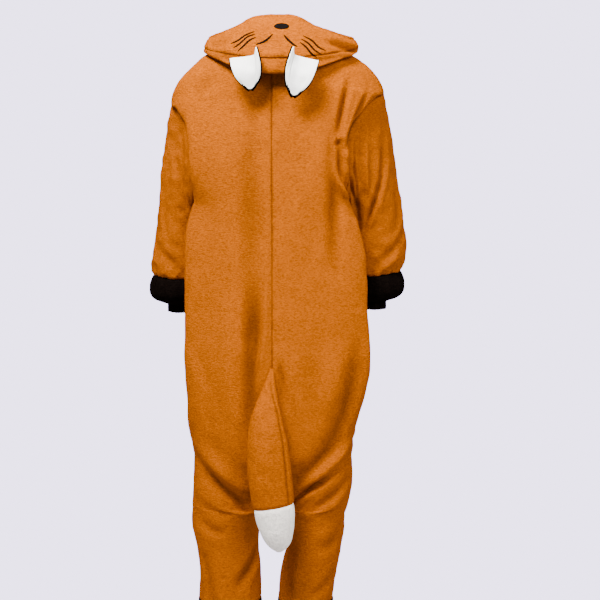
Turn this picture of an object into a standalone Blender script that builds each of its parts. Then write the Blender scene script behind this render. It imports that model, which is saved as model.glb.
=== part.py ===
"""Fox onesie as it hangs on a wearer: thin cloth panels round an empty hollow.

Metres, +Z up. The wearer would face -Y, so the back is at +Y and the wearer's left side at +X. The origin
is the middle of the neck at the nape's height. Every panel is a grid of points on a curved surface, given
a wall on its inner side. Each side is worked out with x counted outwards, and the right side is mirrored.
"""

import math

import bmesh
import bpy
import numpy as np

# Cloth
WALL = 0.0025  # thickness of the fleece
GAP = 0.0003  # left open between two pieces at a seam
LEFT, RIGHT = 1, -1

# How finely the panels are divided
BACK_COLUMNS = 8
FRONT_COLUMNS = 6
SHOULDER_ROWS = 3
ARMHOLE_ROWS = 7
SLEEVE_ROWS = 10

# Body, heights below the nape
NECK_RADIUS = 0.078
SHOULDER_NECK_Z = -0.030
CROTCH_Z = -1.100
LEG_END_Z = -1.3225
LEG_BAND_HEIGHT = 0.066
SEAT_RISE = 0.150  # height over which the trunk divides into two legs
SEAT_ROUND = 2.3  # how squarely the seat seam turns under
SQUARENESS = 0.80  # below 1 the trunk's sections are squarer than an ellipse
PLACKET_FROM_Z, PLACKET_TO_Z = -0.125, -0.80
PLACKET_HALF = 0.35  # share of the first column on each side
BUTTONS = 5
BUTTON_FROM_EDGE = 0.040  # from each end of the placket to the nearest button
BUTTON_RADIUS = 0.012
BUTTON_THICKNESS = 0.0035
BUTTON_CLEAR = 0.0009
BUTTON_SIDES = 12
BUTTON_PROFILE = ((1.0, 0.0), (1.0, 0.75), (0.88, 1.0), (0.74, 1.0), (0.64, 0.62))  # radius, height

# Sleeves
ARMHOLE_HALF_DEPTH = 0.092
WRIST_RIB_HEIGHT = 0.018


def table(names, *rows):
    """Named columns of a short table."""
    return dict(zip(names.split(), np.array(rows, float).T))


# The trunk's middle line, from the neck down. back and front are the distances from the middle plane.
NECK_TO_ARMPIT = table(
    "z_back z_front back front corner",
    (-0.028, -0.085, 0.076, 0.086, 0.000),
    (-0.055, -0.105, 0.089, 0.100, 0.000),
    (-0.084, -0.126, 0.100, 0.110, 0.000),
    (-0.116, -0.150, 0.108, 0.118, 0.000),
    (-0.134, -0.164, 0.111, 0.121, 0.000),
    (-0.166, -0.192, 0.115, 0.125, 0.000),
    (-0.212, -0.232, 0.118, 0.129, 0.000),
    (-0.266, -0.280, 0.119, 0.132, 0.000),
    (-0.320, -0.330, 0.119, 0.133, 0.000),
    (-0.370, -0.376, 0.119, 0.133, 0.005),
    (-0.400, -0.400, 0.119, 0.133, 0.013),
)
# Below the armpit: side is the distance of the side seam, corner how far the back stands out beyond it.
TRUNK = table(
    "z back front left left_corner right right_corner",
    (-0.400, 0.119, 0.133, 0.176, 0.013, 0.166, 0.013),
    (-0.422, 0.119, 0.133, 0.160, 0.040, 0.154, 0.038),
    (-0.450, 0.119, 0.134, 0.148, 0.056, 0.148, 0.056),
    (-0.510, 0.119, 0.135, 0.136, 0.070, 0.145, 0.074),
    (-0.580, 0.120, 0.135, 0.132, 0.076, 0.145, 0.080),
    (-0.640, 0.122, 0.134, 0.134, 0.074, 0.148, 0.079),
    (-0.700, 0.124, 0.133, 0.152, 0.058, 0.165, 0.065),
    (-0.760, 0.126, 0.132, 0.176, 0.034, 0.192, 0.040),
    (-0.820, 0.127, 0.131, 0.190, 0.016, 0.204, 0.018),
    (-0.880, 0.126, 0.129, 0.196, 0.005, 0.201, 0.004),
    (-0.930, 0.124, 0.127, 0.192, 0.000, 0.189, 0.000),
    (-0.970, 0.121, 0.124, 0.183, 0.000, 0.182, 0.000),
    (-1.005, 0.116, 0.120, 0.183, 0.000, 0.184, 0.000),
    (-1.035, 0.110, 0.115, 0.186, 0.000, 0.184, 0.000),
    (-1.060, 0.104, 0.110, 0.188, 0.000, 0.181, 0.000),
    (-1.080, 0.099, 0.105, 0.188, 0.000, 0.177, 0.000),
    (-1.093, 0.096, 0.101, 0.188, 0.000, 0.174, 0.000),
    (CROTCH_Z, 0.094, 0.099, 0.188, 0.000, 0.172, 0.000),
)
LEGS = table(
    "z back front left left_inner right right_inner",
    (CROTCH_Z, 0.094, 0.099, 0.188, 0.00015, 0.172, 0.00015),
    (-1.125, 0.090, 0.095, 0.188, 0.019, 0.164, 0.018),
    (-1.160, 0.086, 0.090, 0.186, 0.031, 0.162, 0.027),
    (-1.200, 0.082, 0.086, 0.179, 0.034, 0.158, 0.029),
    (-1.240, 0.080, 0.083, 0.175, 0.030, 0.153, 0.020),
    (-1.280, 0.079, 0.081, 0.174, 0.029, 0.146, 0.015),
    (LEG_END_Z, 0.078, 0.079, 0.176, 0.028, 0.140, 0.011),
)
# The sleeve's outer and inner lines, from the shoulder to the band.
SLEEVES = {
    LEFT: table(
        "outer_x outer_z inner_x inner_z half_depth y",
        (0.2285, -0.177, 0.176, -0.400, 0.092, 0.000),
        (0.2380, -0.215, 0.175, -0.418, 0.088, -0.022),
        (0.2450, -0.255, 0.171, -0.436, 0.085, -0.039),
        (0.2520, -0.297, 0.166, -0.455, 0.082, -0.051),
        (0.2580, -0.340, 0.162, -0.474, 0.080, -0.060),
        (0.2630, -0.384, 0.159, -0.494, 0.079, -0.067),
        (0.2680, -0.428, 0.157, -0.513, 0.078, -0.072),
        (0.2730, -0.468, 0.155, -0.531, 0.077, -0.076),
        (0.2790, -0.505, 0.154, -0.548, 0.076, -0.078),
        (0.2850, -0.540, 0.153, -0.564, 0.074, -0.081),
        (0.2820, -0.572, 0.154, -0.580, 0.070, -0.083),
    ),
    RIGHT: table(
        "outer_x outer_z inner_x inner_z half_depth y",
        (0.2505, -0.150, 0.166, -0.400, 0.092, 0.000),
        (0.2590, -0.196, 0.170, -0.418, 0.088, -0.026),
        (0.2680, -0.242, 0.171, -0.435, 0.085, -0.039),
        (0.2760, -0.286, 0.169, -0.454, 0.082, -0.051),
        (0.2830, -0.330, 0.167, -0.473, 0.080, -0.060),
        (0.2900, -0.376, 0.166, -0.492, 0.079, -0.067),
        (0.2960, -0.420, 0.166, -0.511, 0.078, -0.072),
        (0.3030, -0.460, 0.166, -0.529, 0.077, -0.076),
        (0.3090, -0.497, 0.166, -0.546, 0.076, -0.078),
        (0.3080, -0.532, 0.167, -0.562, 0.074, -0.081),
        (0.2990, -0.562, 0.169, -0.576, 0.070, -0.083),
    ),
}
# How the armhole seam swings in from the shoulder: the swing and how soon it is over.
ARMHOLE = {LEFT: (0.184, 0.0445, 8.0), RIGHT: (0.161, 0.0895, 4.7)}
# A band's rings: share of the way down, and its width and depth as shares of the sleeve's end.
SLEEVE_BAND = table(
    "down wide deep",
    (0.00, 1.00, 1.00),
    (0.15, 1.08, 1.07),
    (0.40, 1.15, 1.12),
    (0.66, 1.12, 1.08),
    (0.87, 0.90, 0.88),
    (1.00, 0.50, 0.62),
)
SLEEVE_BAND_HEIGHT = 0.064
LEG_BAND = table(
    "down wide deep",
    (0.00, 1.00, 1.00),
    (0.20, 1.02, 1.02),
    (0.48, 1.00, 1.00),
    (0.74, 0.92, 0.93),
    (1.00, 0.78, 0.80),
)
# Hood: one row a station, from the back to the front. fold is the lowest line of the thrown-back hood, rim
# its free edge, round how widely it turns at the fold, sag how far the upper side bellies out below the rim.
HOOD = {
    LEFT: table(
        "turn fold_x fold_y fold_z rim_x rim_y rim_z round sag",
        (0, 0.000, 0.138, -0.112, 0.000, 0.090, 0.0165, 0.020, 0.034),
        (18, 0.046, 0.134, -0.106, 0.038, 0.090, 0.0120, 0.018, 0.030),
        (36, 0.090, 0.116, -0.092, 0.074, 0.084, -0.0070, 0.015, 0.026),
        (54, 0.124, 0.088, -0.078, 0.104, 0.066, -0.0180, 0.012, 0.020),
        (72, 0.146, 0.050, -0.066, 0.128, 0.038, -0.0260, 0.014, 0.014),
        (90, 0.149, 0.010, -0.058, 0.136, 0.006, -0.0300, 0.013, 0.010),
        (108, 0.138, -0.030, -0.055, 0.126, -0.026, -0.0240, 0.013, 0.010),
        (126, 0.114, -0.068, -0.065, 0.102, -0.056, -0.0280, 0.013, 0.010),
        (144, 0.082, -0.104, -0.088, 0.072, -0.082, -0.0420, 0.013, 0.010),
        (162, 0.044, -0.124, -0.102, 0.038, -0.100, -0.0520, 0.013, 0.010),
        (180, 0.004, -0.130, -0.108, 0.004, -0.107, -0.0560, 0.013, 0.010),
    ),
    RIGHT: table(
        "turn fold_x fold_y fold_z rim_x rim_y rim_z round sag",
        (0, 0.000, 0.138, -0.112, 0.000, 0.090, 0.0165, 0.020, 0.034),
        (18, 0.060, 0.134, -0.108, 0.052, 0.090, 0.0140, 0.018, 0.030),
        (36, 0.116, 0.114, -0.092, 0.092, 0.084, -0.0060, 0.015, 0.026),
        (54, 0.160, 0.086, -0.076, 0.132, 0.066, -0.0190, 0.012, 0.020),
        (72, 0.184, 0.050, -0.066, 0.162, 0.038, -0.0270, 0.014, 0.014),
        (90, 0.188, 0.010, -0.056, 0.174, 0.006, -0.0290, 0.013, 0.010),
        (108, 0.168, -0.030, -0.054, 0.154, -0.026, -0.0240, 0.013, 0.010),
        (126, 0.132, -0.068, -0.063, 0.118, -0.056, -0.0270, 0.013, 0.010),
        (144, 0.090, -0.104, -0.086, 0.078, -0.082, -0.0410, 0.013, 0.010),
        (162, 0.046, -0.124, -0.102, 0.040, -0.100, -0.0520, 0.013, 0.010),
        (180, 0.004, -0.130, -0.108, 0.004, -0.107, -0.0560, 0.013, 0.010),
    ),
}
UNDER_ROWS, OVER_ROWS = 4, 6
SEAM_ROW = UNDER_ROWS + 2  # the ears are sewn into this seam
# The tail and its white tip
TAIL = table(
    "z x half_width half_depth y",
    (-0.757, 0.001, 0.0035, 0.0025, 0.1345),
    (-0.775, 0.003, 0.0090, 0.0060, 0.1390),
    (-0.800, 0.006, 0.0160, 0.0110, 0.1430),
    (-0.835, 0.010, 0.0265, 0.0170, 0.1490),
    (-0.875, 0.012, 0.0375, 0.0230, 0.1540),
    (-0.920, 0.010, 0.0460, 0.0280, 0.1570),
    (-0.965, 0.007, 0.0490, 0.0310, 0.1580),
    (-1.010, 0.004, 0.0490, 0.0325, 0.1570),
    (-1.050, 0.000, 0.0465, 0.0320, 0.1550),
    (-1.080, -0.003, 0.0445, 0.0310, 0.1530),
    (-1.105, -0.006, 0.0420, 0.0295, 0.1510),
    (-1.130, -0.009, 0.0370, 0.0260, 0.1490),
    (-1.150, -0.012, 0.0290, 0.0200, 0.1475),
    (-1.163, -0.014, 0.0190, 0.0130, 0.1465),
    (-1.172, -0.015, 0.0060, 0.0050, 0.1460),
)
TAIL_SEAM_ROW = 9  # the tip begins at this row
TAIL_SIDES = 14
# Ears: where along the hood's seam, the direction down the ear, half-width, length and inner side
EARS = {
    "left": dict(x=0.054, lean=(-0.13, 0.14, -1.0), half=0.036, long=0.070, inner=-1),
    "right": dict(x=-0.067, lean=(0.24, 0.14, -1.0), half=0.036, long=0.084, inner=1),
}
EAR_COLUMNS, EAR_ROWS = 6, 5
EAR_CLEAR = 0.0065  # from the hood to the front of the ear's base
NOSE_X, NOSE_Z = -0.022, -0.010
NOSE_HALF_WIDTH, NOSE_HALF_HEIGHT = 0.0165, 0.0065
NOSE_BOW, NOSE_SIDES = 5.5, 12
NOSE_CLEAR, NOSE_WALL = 0.0015, 0.0012
NOSE_RINGS = (1.0, 0.7, 0.35, 0.04)

# The largest folds: which piece, both ends (x outwards, z), width, and depth below the cloth
FOLDS = {
    ("back", LEFT): (
        ((0.052, -0.18), (0.062, -0.54), 0.022, 0.006),
        ((0.030, -0.71), (0.045, -0.90), 0.014, 0.008),
        ((0.176, -1.000), (0.040, -1.100), 0.015, -0.012),
        ((0.170, -1.050), (0.055, -1.140), 0.012, 0.010),
    ),
    ("back", RIGHT): (
        ((0.142, -0.19), (0.128, -0.56), 0.016, 0.010),
        ((0.196, -0.660), (0.142, -0.860), 0.016, 0.014),
        ((0.142, -0.860), (0.060, -1.020), 0.018, 0.014),
        ((0.180, -0.950), (0.050, -1.065), 0.015, -0.012),
        ((0.165, -1.020), (0.055, -1.110), 0.012, 0.010),
    ),
    ("front", LEFT): (
        ((0.150, -0.44), (0.110, -0.80), 0.020, 0.008),
        ((0.170, -0.960), (0.060, -1.060), 0.018, 0.009),
    ),
    ("front", RIGHT): (
        ((0.145, -0.43), (0.105, -0.72), 0.020, 0.009),
        ((0.165, -0.930), (0.055, -1.050), 0.018, 0.010),
    ),
}
SLEEVE_FOLDS = {
    LEFT: (
        ((0.205, -0.26), (0.196, -0.42), 0.012, 0.006),
        ((0.235, -0.500), (0.205, -0.530), 0.012, 0.006),
    ),
    RIGHT: (
        ((0.250, -0.200), (0.228, -0.400), 0.013, 0.009),
        ((0.190, -0.280), (0.200, -0.440), 0.011, 0.009),
        ((0.285, -0.470), (0.225, -0.540), 0.012, 0.006),
    ),
}

COLOURS = {
    "orange": (0.72, 0.235, 0.012),
    "black": (0.010, 0.008, 0.007),
    "white": (0.86, 0.84, 0.80),
    "button": (0.045, 0.022, 0.010),
}


# ---------------------------------------------------------------- curves and grids


def between(keys, values, at):
    """A smooth curve through the table's points, with no overshoot at its steps."""
    keys, values, at = np.asarray(keys, float), np.asarray(values, float), np.asarray(at, float)
    if keys[0] > keys[-1]:
        keys, values = keys[::-1], values[::-1]
    run = np.diff(keys)
    slope = np.diff(values) / run
    tangent = np.concatenate([slope[:1], (slope[1:] + slope[:-1]) / 2, slope[-1:]])
    flat = slope[1:] * slope[:-1] <= 0
    tangent[1:-1][flat] = 0
    i = np.clip(np.searchsorted(keys, at) - 1, 0, len(run) - 1)
    t = np.clip((at - keys[i]) / run[i], 0, 1)
    h = run[i]
    return (
        values[i] * (1 + 2 * t) * (1 - t) ** 2
        + tangent[i] * h * t * (1 - t) ** 2
        + values[i + 1] * t**2 * (3 - 2 * t)
        + tangent[i + 1] * h * t**2 * (t - 1)
    )


def unit(vectors):
    return vectors / np.maximum(np.linalg.norm(vectors, axis=-1, keepdims=True), 1e-12)


def stack(*columns):
    return np.stack(np.broadcast_arrays(*columns), axis=-1)


def mirrored(points):
    return points * (-1, 1, 1)


def row_steps(grid):
    """Direction down the rows, at every point."""
    return np.concatenate([grid[1:2] - grid[:1], grid[2:] - grid[:-2], grid[-1:] - grid[-2:-1]])


def pushed(points, normals, folds, facing=None):
    """Points moved in at each fold: a soft trough that fades at both ends, or a ridge where depth is below 0."""
    moved = np.zeros(points.shape[:-1])
    flat = points[..., [0, 2]]
    for start, end, width, depth in folds:
        start, end = np.array(start), np.array(end)
        along = end - start
        t = np.clip(((flat - start) @ along) / (along @ along), 0, 1)
        away = np.linalg.norm(flat - start - t[..., None] * along, axis=-1)
        fade = np.clip(4 * t * (1 - t) + 0.15, 0, 1)
        moved += depth * fade * np.exp(-((away / width) ** 2))
    if facing is not None:
        moved = moved * np.clip(facing, 0, 1)
    return points - normals * moved[..., None]


# ---------------------------------------------------------------- meshes


def material(name):
    found = bpy.data.materials.get(name)
    if found:
        return found
    made = bpy.data.materials.new(name)
    made.use_nodes = True
    shader = made.node_tree.nodes["Principled BSDF"]
    shader.inputs["Base Color"].default_value = (*COLOURS[name], 1)
    shader.inputs["Roughness"].default_value = 0.35 if name == "button" else 0.95
    shader.inputs["Metallic"].default_value = 0
    return made


def add_object(name, mesh, colour):
    made = bpy.data.objects.new(name, mesh)
    bpy.context.scene.collection.objects.link(made)
    mesh.materials.append(material(colour))
    mesh.shade_smooth()
    mesh.set_sharp_from_angle(angle=math.radians(50))
    return made


def add_faces(form, grid, closed):
    """Quads of a grid of vertices; a closed grid joins its last column to its first."""
    columns = len(grid[0])
    for upper, lower in zip(grid, grid[1:]):
        for c in range(columns if closed else columns - 1):
            d = (c + 1) % columns
            form.faces.new((upper[c], upper[d], lower[d], lower[c]))


def finish(form, name, colour):
    """The object of a closed form, with every face turned outwards."""
    bmesh.ops.recalc_face_normals(form, faces=form.faces)
    mesh = bpy.data.meshes.new(name)
    form.to_mesh(mesh)
    form.free()
    return add_object(name, mesh, colour)


def cloth(name, outside, normals, colour, closed=False):
    """A closed wall: the outside grid, the same grid moved in by the wall, and a strip round each free edge."""
    form = bmesh.new()
    outer, inner = (
        [[form.verts.new(point) for point in row] for row in points]
        for points in (outside, outside - normals * WALL)
    )
    add_faces(form, outer, closed)
    add_faces(form, inner, closed)
    for end in (0, -1):
        add_faces(form, [outer[end], inner[end]], closed)
        if not closed:
            add_faces(form, [[row[end] for row in outer], [row[end] for row in inner]], False)
    return finish(form, name, colour)


def padded(name, rings, colour):
    """A stuffed form: closed rings with a flat cap at each end."""
    form = bmesh.new()
    grid = [[form.verts.new(point) for point in ring] for ring in rings]
    add_faces(form, grid, True)
    form.faces.new(grid[0])
    form.faces.new(grid[-1])
    return finish(form, name, colour)


# ---------------------------------------------------------------- body


def section(t, middle, edge, corner, inner, under):
    """One row of a panel from its middle edge (t = 0) to its side edge (t = 1).

    The trunk's row is a squared quarter ellipse with a bulge before the side seam. A leg's row is half an
    ellipse from the inseam to the side seam. under, from 0 to 1, turns the first into the second.
    """
    angle = t * math.pi / 2
    trunk_x = np.sin(angle) ** SQUARENESS
    trunk_y = np.cos(angle) ** SQUARENESS
    leg_x = (1 - np.cos(2 * angle)) / 2
    leg_y = np.sin(2 * angle) ** 0.9
    bulge = np.sin(math.pi * t**2) ** 2
    x = inner + (edge[0] - inner) * ((1 - under) * trunk_x + under * leg_x) + corner * bulge
    trunk = edge[1] + (middle[1] - edge[1]) * trunk_y
    y = (1 - under) * trunk + under * middle[1] * leg_y
    z = middle[2] + (edge[2] - middle[2]) * trunk_x**2
    return stack(x, y, z)


def shoulder_edge(side, row):
    """The shoulder seam's point in a row: a slope that rounds down over the arm."""
    end_x, end_z = SLEEVES[side]["outer_x"][0], SLEEVES[side]["outer_z"][0]
    angle = row / SHOULDER_ROWS * math.pi / 2
    drop = 0.4 * math.sin(angle) + 0.6 * (1 - math.cos(angle))
    x = NECK_RADIUS + (end_x - NECK_RADIUS) * math.sin(angle)
    return np.array([x, 0.0, SHOULDER_NECK_Z + (end_z - SHOULDER_NECK_Z) * drop])


def armhole_ring(side):
    """Points of the armhole from the shoulder round the back to the armpit and up the front."""
    rows = SLEEVES[side]
    top, bottom = rows["outer_z"][0], rows["inner_z"][0]
    seam_x, swing, power = ARMHOLE[side]
    angle = np.arange(2 * ARMHOLE_ROWS) * math.pi / ARMHOLE_ROWS
    down = (1 - np.cos(angle)) / 2
    x = seam_x + swing * (1 - down) ** power + (rows["inner_x"][0] - seam_x) * down**3
    y = ARMHOLE_HALF_DEPTH * np.sin(angle)
    y[[0, ARMHOLE_ROWS]] = 0
    return stack(x, y, top + (bottom - top) * down)


def body_rows(side, face):
    """The rows of one panel, from the neck to the end of the leg, with no seam gaps yet."""
    sign = 1 if face == "back" else -1
    columns = BACK_COLUMNS if face == "back" else FRONT_COLUMNS
    t = np.linspace(0, 1, columns + 1)
    rows = []
    ring = armhole_ring(side)
    neck = NECK_TO_ARMPIT
    for i in range(SHOULDER_ROWS + ARMHOLE_ROWS + 1):
        middle = (0, sign * neck[face][i], neck["z_" + face][i])
        k = i - SHOULDER_ROWS
        edge = shoulder_edge(side, i) if k < 0 else ring[k] * (1, sign, 1)
        corner = neck["corner"][i] if face == "back" else 0
        rows.append(section(t, middle, edge, corner, GAP / 2, 0))
    name = "left" if side == LEFT else "right"
    for i in range(1, len(TRUNK["z"])):
        z = TRUNK["z"][i]
        reach = np.clip((z - CROTCH_Z) / SEAT_RISE, 0, 1)
        turned = 1 - (1 - (1 - reach) ** SEAT_ROUND) ** (1 / SEAT_ROUND)
        eased = (1 - reach) ** 2 * (1 + 2 * reach)
        under = turned + (eased - turned) * t**0.6
        corner = TRUNK[name + "_corner"][i] * (1 if face == "back" else 0)
        middle, edge = (0, sign * TRUNK[face][i], z), (TRUNK[name][i], 0, z)
        rows.append(section(t, middle, edge, corner, GAP / 2, under))
    for i in range(1, len(LEGS["z"])):
        z = LEGS["z"][i]
        middle, edge = (0, sign * LEGS[face][i], z), (LEGS[name][i], 0, z)
        rows.append(section(t, middle, edge, 0, LEGS[name + "_inner"][i], 1))
    return np.array(rows)


CROTCH_ROW = SHOULDER_ROWS + ARMHOLE_ROWS + len(TRUNK["z"]) - 1
ARMPIT_ROW = SHOULDER_ROWS + ARMHOLE_ROWS


def panel_normals(grid, other, sleeve, sign):
    """Outward directions of a panel, smooth across its seams with the panel opposite and the sleeve."""
    before = mirrored(grid[:, 1])
    before[CROTCH_ROW + 1 :] = other[CROTCH_ROW + 1 :, 1]
    after = other[:, -2].copy()
    for k in range(1, ARMHOLE_ROWS):
        after[SHOULDER_ROWS + k] = sleeve[1][k if sign > 0 else -k]
    wide = np.concatenate([before[:, None], grid, after[:, None]], axis=1)
    across = wide[:, 2:] - wide[:, :-2]
    normals = unit(np.cross(across, row_steps(grid))) * sign
    normals[: CROTCH_ROW + 1, 0, 0] = 0
    normals[CROTCH_ROW, 0] = (0, 0, -1)
    return unit(normals)


def sleeve_rings(side):
    """Rings of the sleeve from the armhole to the band, and the swing of the armhole fading out of them."""
    rows = SLEEVES[side]
    ring = armhole_ring(side)
    angle = np.arange(2 * ARMHOLE_ROWS) * math.pi / ARMHOLE_ROWS
    down = (1 - np.cos(angle)) / 2
    flat = rows["outer_x"][0] + (rows["inner_x"][0] - rows["outer_x"][0]) * down
    swing = ring[:, 0] - flat
    rings = [ring]
    for i in range(1, SLEEVE_ROWS + 1):
        x = rows["outer_x"][i] + (rows["inner_x"][i] - rows["outer_x"][i]) * down
        z = rows["outer_z"][i] + (rows["inner_z"][i] - rows["outer_z"][i]) * down
        y = rows["y"][i] + rows["half_depth"][i] * np.sin(angle)
        fade = max(0.0, 1 - i / 4.5) ** 1.5
        rings.append(stack(x + swing * fade, y, z))
    return np.array(rings)


def moved_off(edge, out, beyond, gap):
    """An edge moved along the cloth, square to its seam, towards the points beyond it."""
    along = np.roll(edge, -1, axis=0) - np.roll(edge, 1, axis=0)
    square = unit(np.cross(out, along))
    towards = np.sum(square * (beyond - edge), axis=-1, keepdims=True)
    return edge + square * np.sign(towards) * gap


def ring_normals(rings):
    """Outward directions of a tube whose rings run from the outside over the back to the inside."""
    around = np.roll(rings, -1, axis=1) - np.roll(rings, 1, axis=1)
    return unit(np.cross(row_steps(rings), around))


def build_side(side):
    """All the panels of one side, worked out with x outwards."""
    sleeve = sleeve_rings(side)
    grids = {face: body_rows(side, face) for face in ("back", "front")}
    normals = {
        "back": panel_normals(grids["back"], grids["front"], sleeve, 1),
        "front": panel_normals(grids["front"], grids["back"], sleeve, -1),
    }
    for face in grids:
        grids[face] = pushed(grids[face], normals[face], FOLDS[face, side])
    sleeve_out = ring_normals(sleeve)
    sleeve = pushed(sleeve, sleeve_out, SLEEVE_FOLDS[side], sleeve_out[..., 1])
    seam_row = SHOULDER_ROWS
    shoulder = unit(sleeve[1][0] - grids["back"][seam_row - 1, -1])
    top = unit(np.array([-shoulder[2], 0, shoulder[0]]))
    for face, step in (("back", 1), ("front", -1)):
        normals[face][seam_row, -1] = top
        normals[face][ARMPIT_ROW, -1] = (0, 0, -1)
        for k in range(1, ARMHOLE_ROWS):
            sleeve_out[0, step * k] = normals[face][seam_row + k, -1]
            sleeve[0, step * k] = grids[face][seam_row + k, -1]
    sleeve_out[0, 0], sleeve_out[0, ARMHOLE_ROWS] = top, (0, 0, -1)
    sleeve[0] = moved_off(sleeve[0], sleeve_out[0], sleeve[1], GAP)
    for face, sign in (("back", 1), ("front", -1)):
        sewn = [i for i in range(len(grids[face])) if i <= seam_row or i >= ARMPIT_ROW]
        grids[face][sewn, -1, 1] = sign * GAP / 2
        normals[face][sewn, -1, 1] = 0
        grids[face][CROTCH_ROW:, 0, 1] = sign * GAP / 2
        normals[face] = unit(normals[face])
    return grids, normals, sleeve, sleeve_out


def add_panels(side, grids, normals):
    word = "left" if side == LEFT else "right"
    for face in ("back", "front"):
        points, out = grids[face], normals[face]
        if side == RIGHT:
            points, out = mirrored(points), mirrored(out)
        cloth(f"{face}_{word}", points, out, "orange")


def band_rings(last, shape, height, rows_down):
    """Rings below the last ring of a sleeve or leg: wider or narrower as the table says, and lower."""
    centre = last.mean(axis=0)
    rings = []
    for down in rows_down:
        wide = between(shape["down"], shape["wide"], down)
        deep = between(shape["down"], shape["deep"], down)
        away = (last - centre) * (wide, deep, 1 - down)
        rings.append(centre + away + (0, 0, -GAP - height * down))
    return np.array(rings)


def add_tube(name, side, rings, normals, colour):
    if side == RIGHT:
        rings, normals = mirrored(rings), mirrored(normals)
    return cloth(name, rings, normals, colour, closed=True)


def add_sleeve(side, sleeve, sleeve_out):
    word = "left" if side == LEFT else "right"
    add_tube(f"sleeve_{word}", side, sleeve, sleeve_out, "orange")
    band = band_rings(sleeve[-1], SLEEVE_BAND, SLEEVE_BAND_HEIGHT, SLEEVE_BAND["down"])
    out = ring_normals(band)
    out[0] = sleeve_out[-1]
    add_tube(f"sleeve_band_{word}", side, band, out, "black")
    drop = np.array([0, 0, -GAP])
    rib = np.array([band[-1] + drop, band[-1] + (0, 0, -WRIST_RIB_HEIGHT)])
    rib_out = np.array([out[-1], ring_normals(rib)[1]])
    add_tube(f"wrist_rib_{word}", side, rib, rib_out, "black")


def add_leg_band(side, grids, normals):
    word = "left" if side == LEFT else "right"
    last = np.concatenate([grids["back"][-1, ::-1], grids["front"][-1, 1:-1]])
    last_out = np.concatenate([normals["back"][-1, ::-1], normals["front"][-1, 1:-1]])
    rings = band_rings(last, LEG_BAND, LEG_BAND_HEIGHT, LEG_BAND["down"])
    out = ring_normals(rings)
    out[0] = last_out
    add_tube(f"leg_band_{word}", side, rings, out, "black")


# ---------------------------------------------------------------- front opening


def add_placket(left, right):
    """A strip over the centre-front seam, made from the panels' own points moved out."""
    grid, out = left["grid"], left["out"]
    rows = [r for r in range(len(grid)) if PLACKET_TO_Z <= grid[r, 0, 2] <= PLACKET_FROM_Z]
    points, normals = [], []
    for part, turn in ((right, mirrored), (left, lambda p: p)):
        near, far = part["grid"][rows, 0], part["grid"][rows, 1]
        side = near + (far - near) * PLACKET_HALF
        lean = unit(part["out"][rows, 0] + (part["out"][rows, 1] - part["out"][rows, 0]) * PLACKET_HALF)
        points.append(turn(side))
        normals.append(turn(lean))
    middle = grid[rows, 0] * (0, 1, 1)
    points = np.array([points[1], middle, points[0]]).transpose(1, 0, 2)
    normals = np.array([normals[1], out[rows, 0], normals[0]]).transpose(1, 0, 2)
    outside = points + normals * (2 * GAP + WALL)
    cloth("front_placket", outside, normals, "orange")
    top, bottom = PLACKET_FROM_Z - BUTTON_FROM_EDGE, PLACKET_TO_Z + BUTTON_FROM_EDGE
    for i in range(BUTTONS):
        z = top - i * (top - bottom) / (BUTTONS - 1)
        heights = outside[::-1, 1, 2]
        y = np.interp(z, heights, outside[::-1, 1, 1])
        slope = (np.interp(z + 0.01, heights, outside[::-1, 1, 1]) - y) / 0.01
        add_button(f"button_{i + 1}", (0, y, z), math.atan(slope))


def add_button(name, place, tilt):
    """A round button with a raised rim, leaning with the placket and just clear of it."""
    form = bmesh.new()
    angle = np.arange(BUTTON_SIDES) * 2 * math.pi / BUTTON_SIDES
    rings = []
    for share, up in BUTTON_PROFILE:
        radius = BUTTON_RADIUS * share
        ring = stack(radius * np.cos(angle), -up * BUTTON_THICKNESS, radius * np.sin(angle))
        rings.append([form.verts.new(point) for point in ring])
    add_faces(form, rings, True)
    form.faces.new(rings[0])
    form.faces.new(rings[-1])
    made = finish(form, name, "button")
    clear = BUTTON_CLEAR + BUTTON_THICKNESS * abs(math.sin(tilt))
    made.location = (place[0], place[1] - clear, place[2])
    made.rotation_euler = (-tilt, 0, 0)


# ---------------------------------------------------------------- hood


def hood_grid(side, neck, neck_out):
    """Sections of the thrown-back hood, one for each point of the neckline from back to front.

    Each section is two cubic curves that meet at the fold: the under side from the neckline down to the
    fold, and the upper side from the fold up to the rim.
    """
    rows = HOOD[side]
    turn = np.linspace(0, 180, len(neck))
    fold = stack(*(between(rows["turn"], rows["fold_" + axis], turn) for axis in "xyz"))
    rim = stack(*(between(rows["turn"], rows["rim_" + axis], turn) for axis in "xyz"))
    wide = between(rows["turn"], rows["round"], turn)[:, None]
    sag = between(rows["turn"], rows["sag"], turn)[:, None]
    out = unit(stack(fold[:, 0] * 0.7, fold[:, 1], np.zeros(len(turn))))
    out[0] = (0, 1, 0)
    start = neck + neck_out * 2 * GAP
    lift = unit(neck_out + (0, 0, 0.6)) * 0.012 + (fold - start) * 0.33
    under = curve(start, start + lift, fold - out * wide * 0.5, fold, UNDER_ROWS, False)
    over = curve(fold, fold + out * wide, rim + out * sag, rim, OVER_ROWS, True)
    return np.concatenate([under, over])


def curve(a, b, c, d, steps, ends):
    """Points of a cubic curve with the two ends a and d and the handles b and c."""
    v = (np.arange(steps + (1 if ends else 0)) / steps)[:, None, None]
    return (1 - v) ** 3 * a + 3 * (1 - v) ** 2 * v * b + 3 * (1 - v) * v**2 * c + v**3 * d


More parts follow.
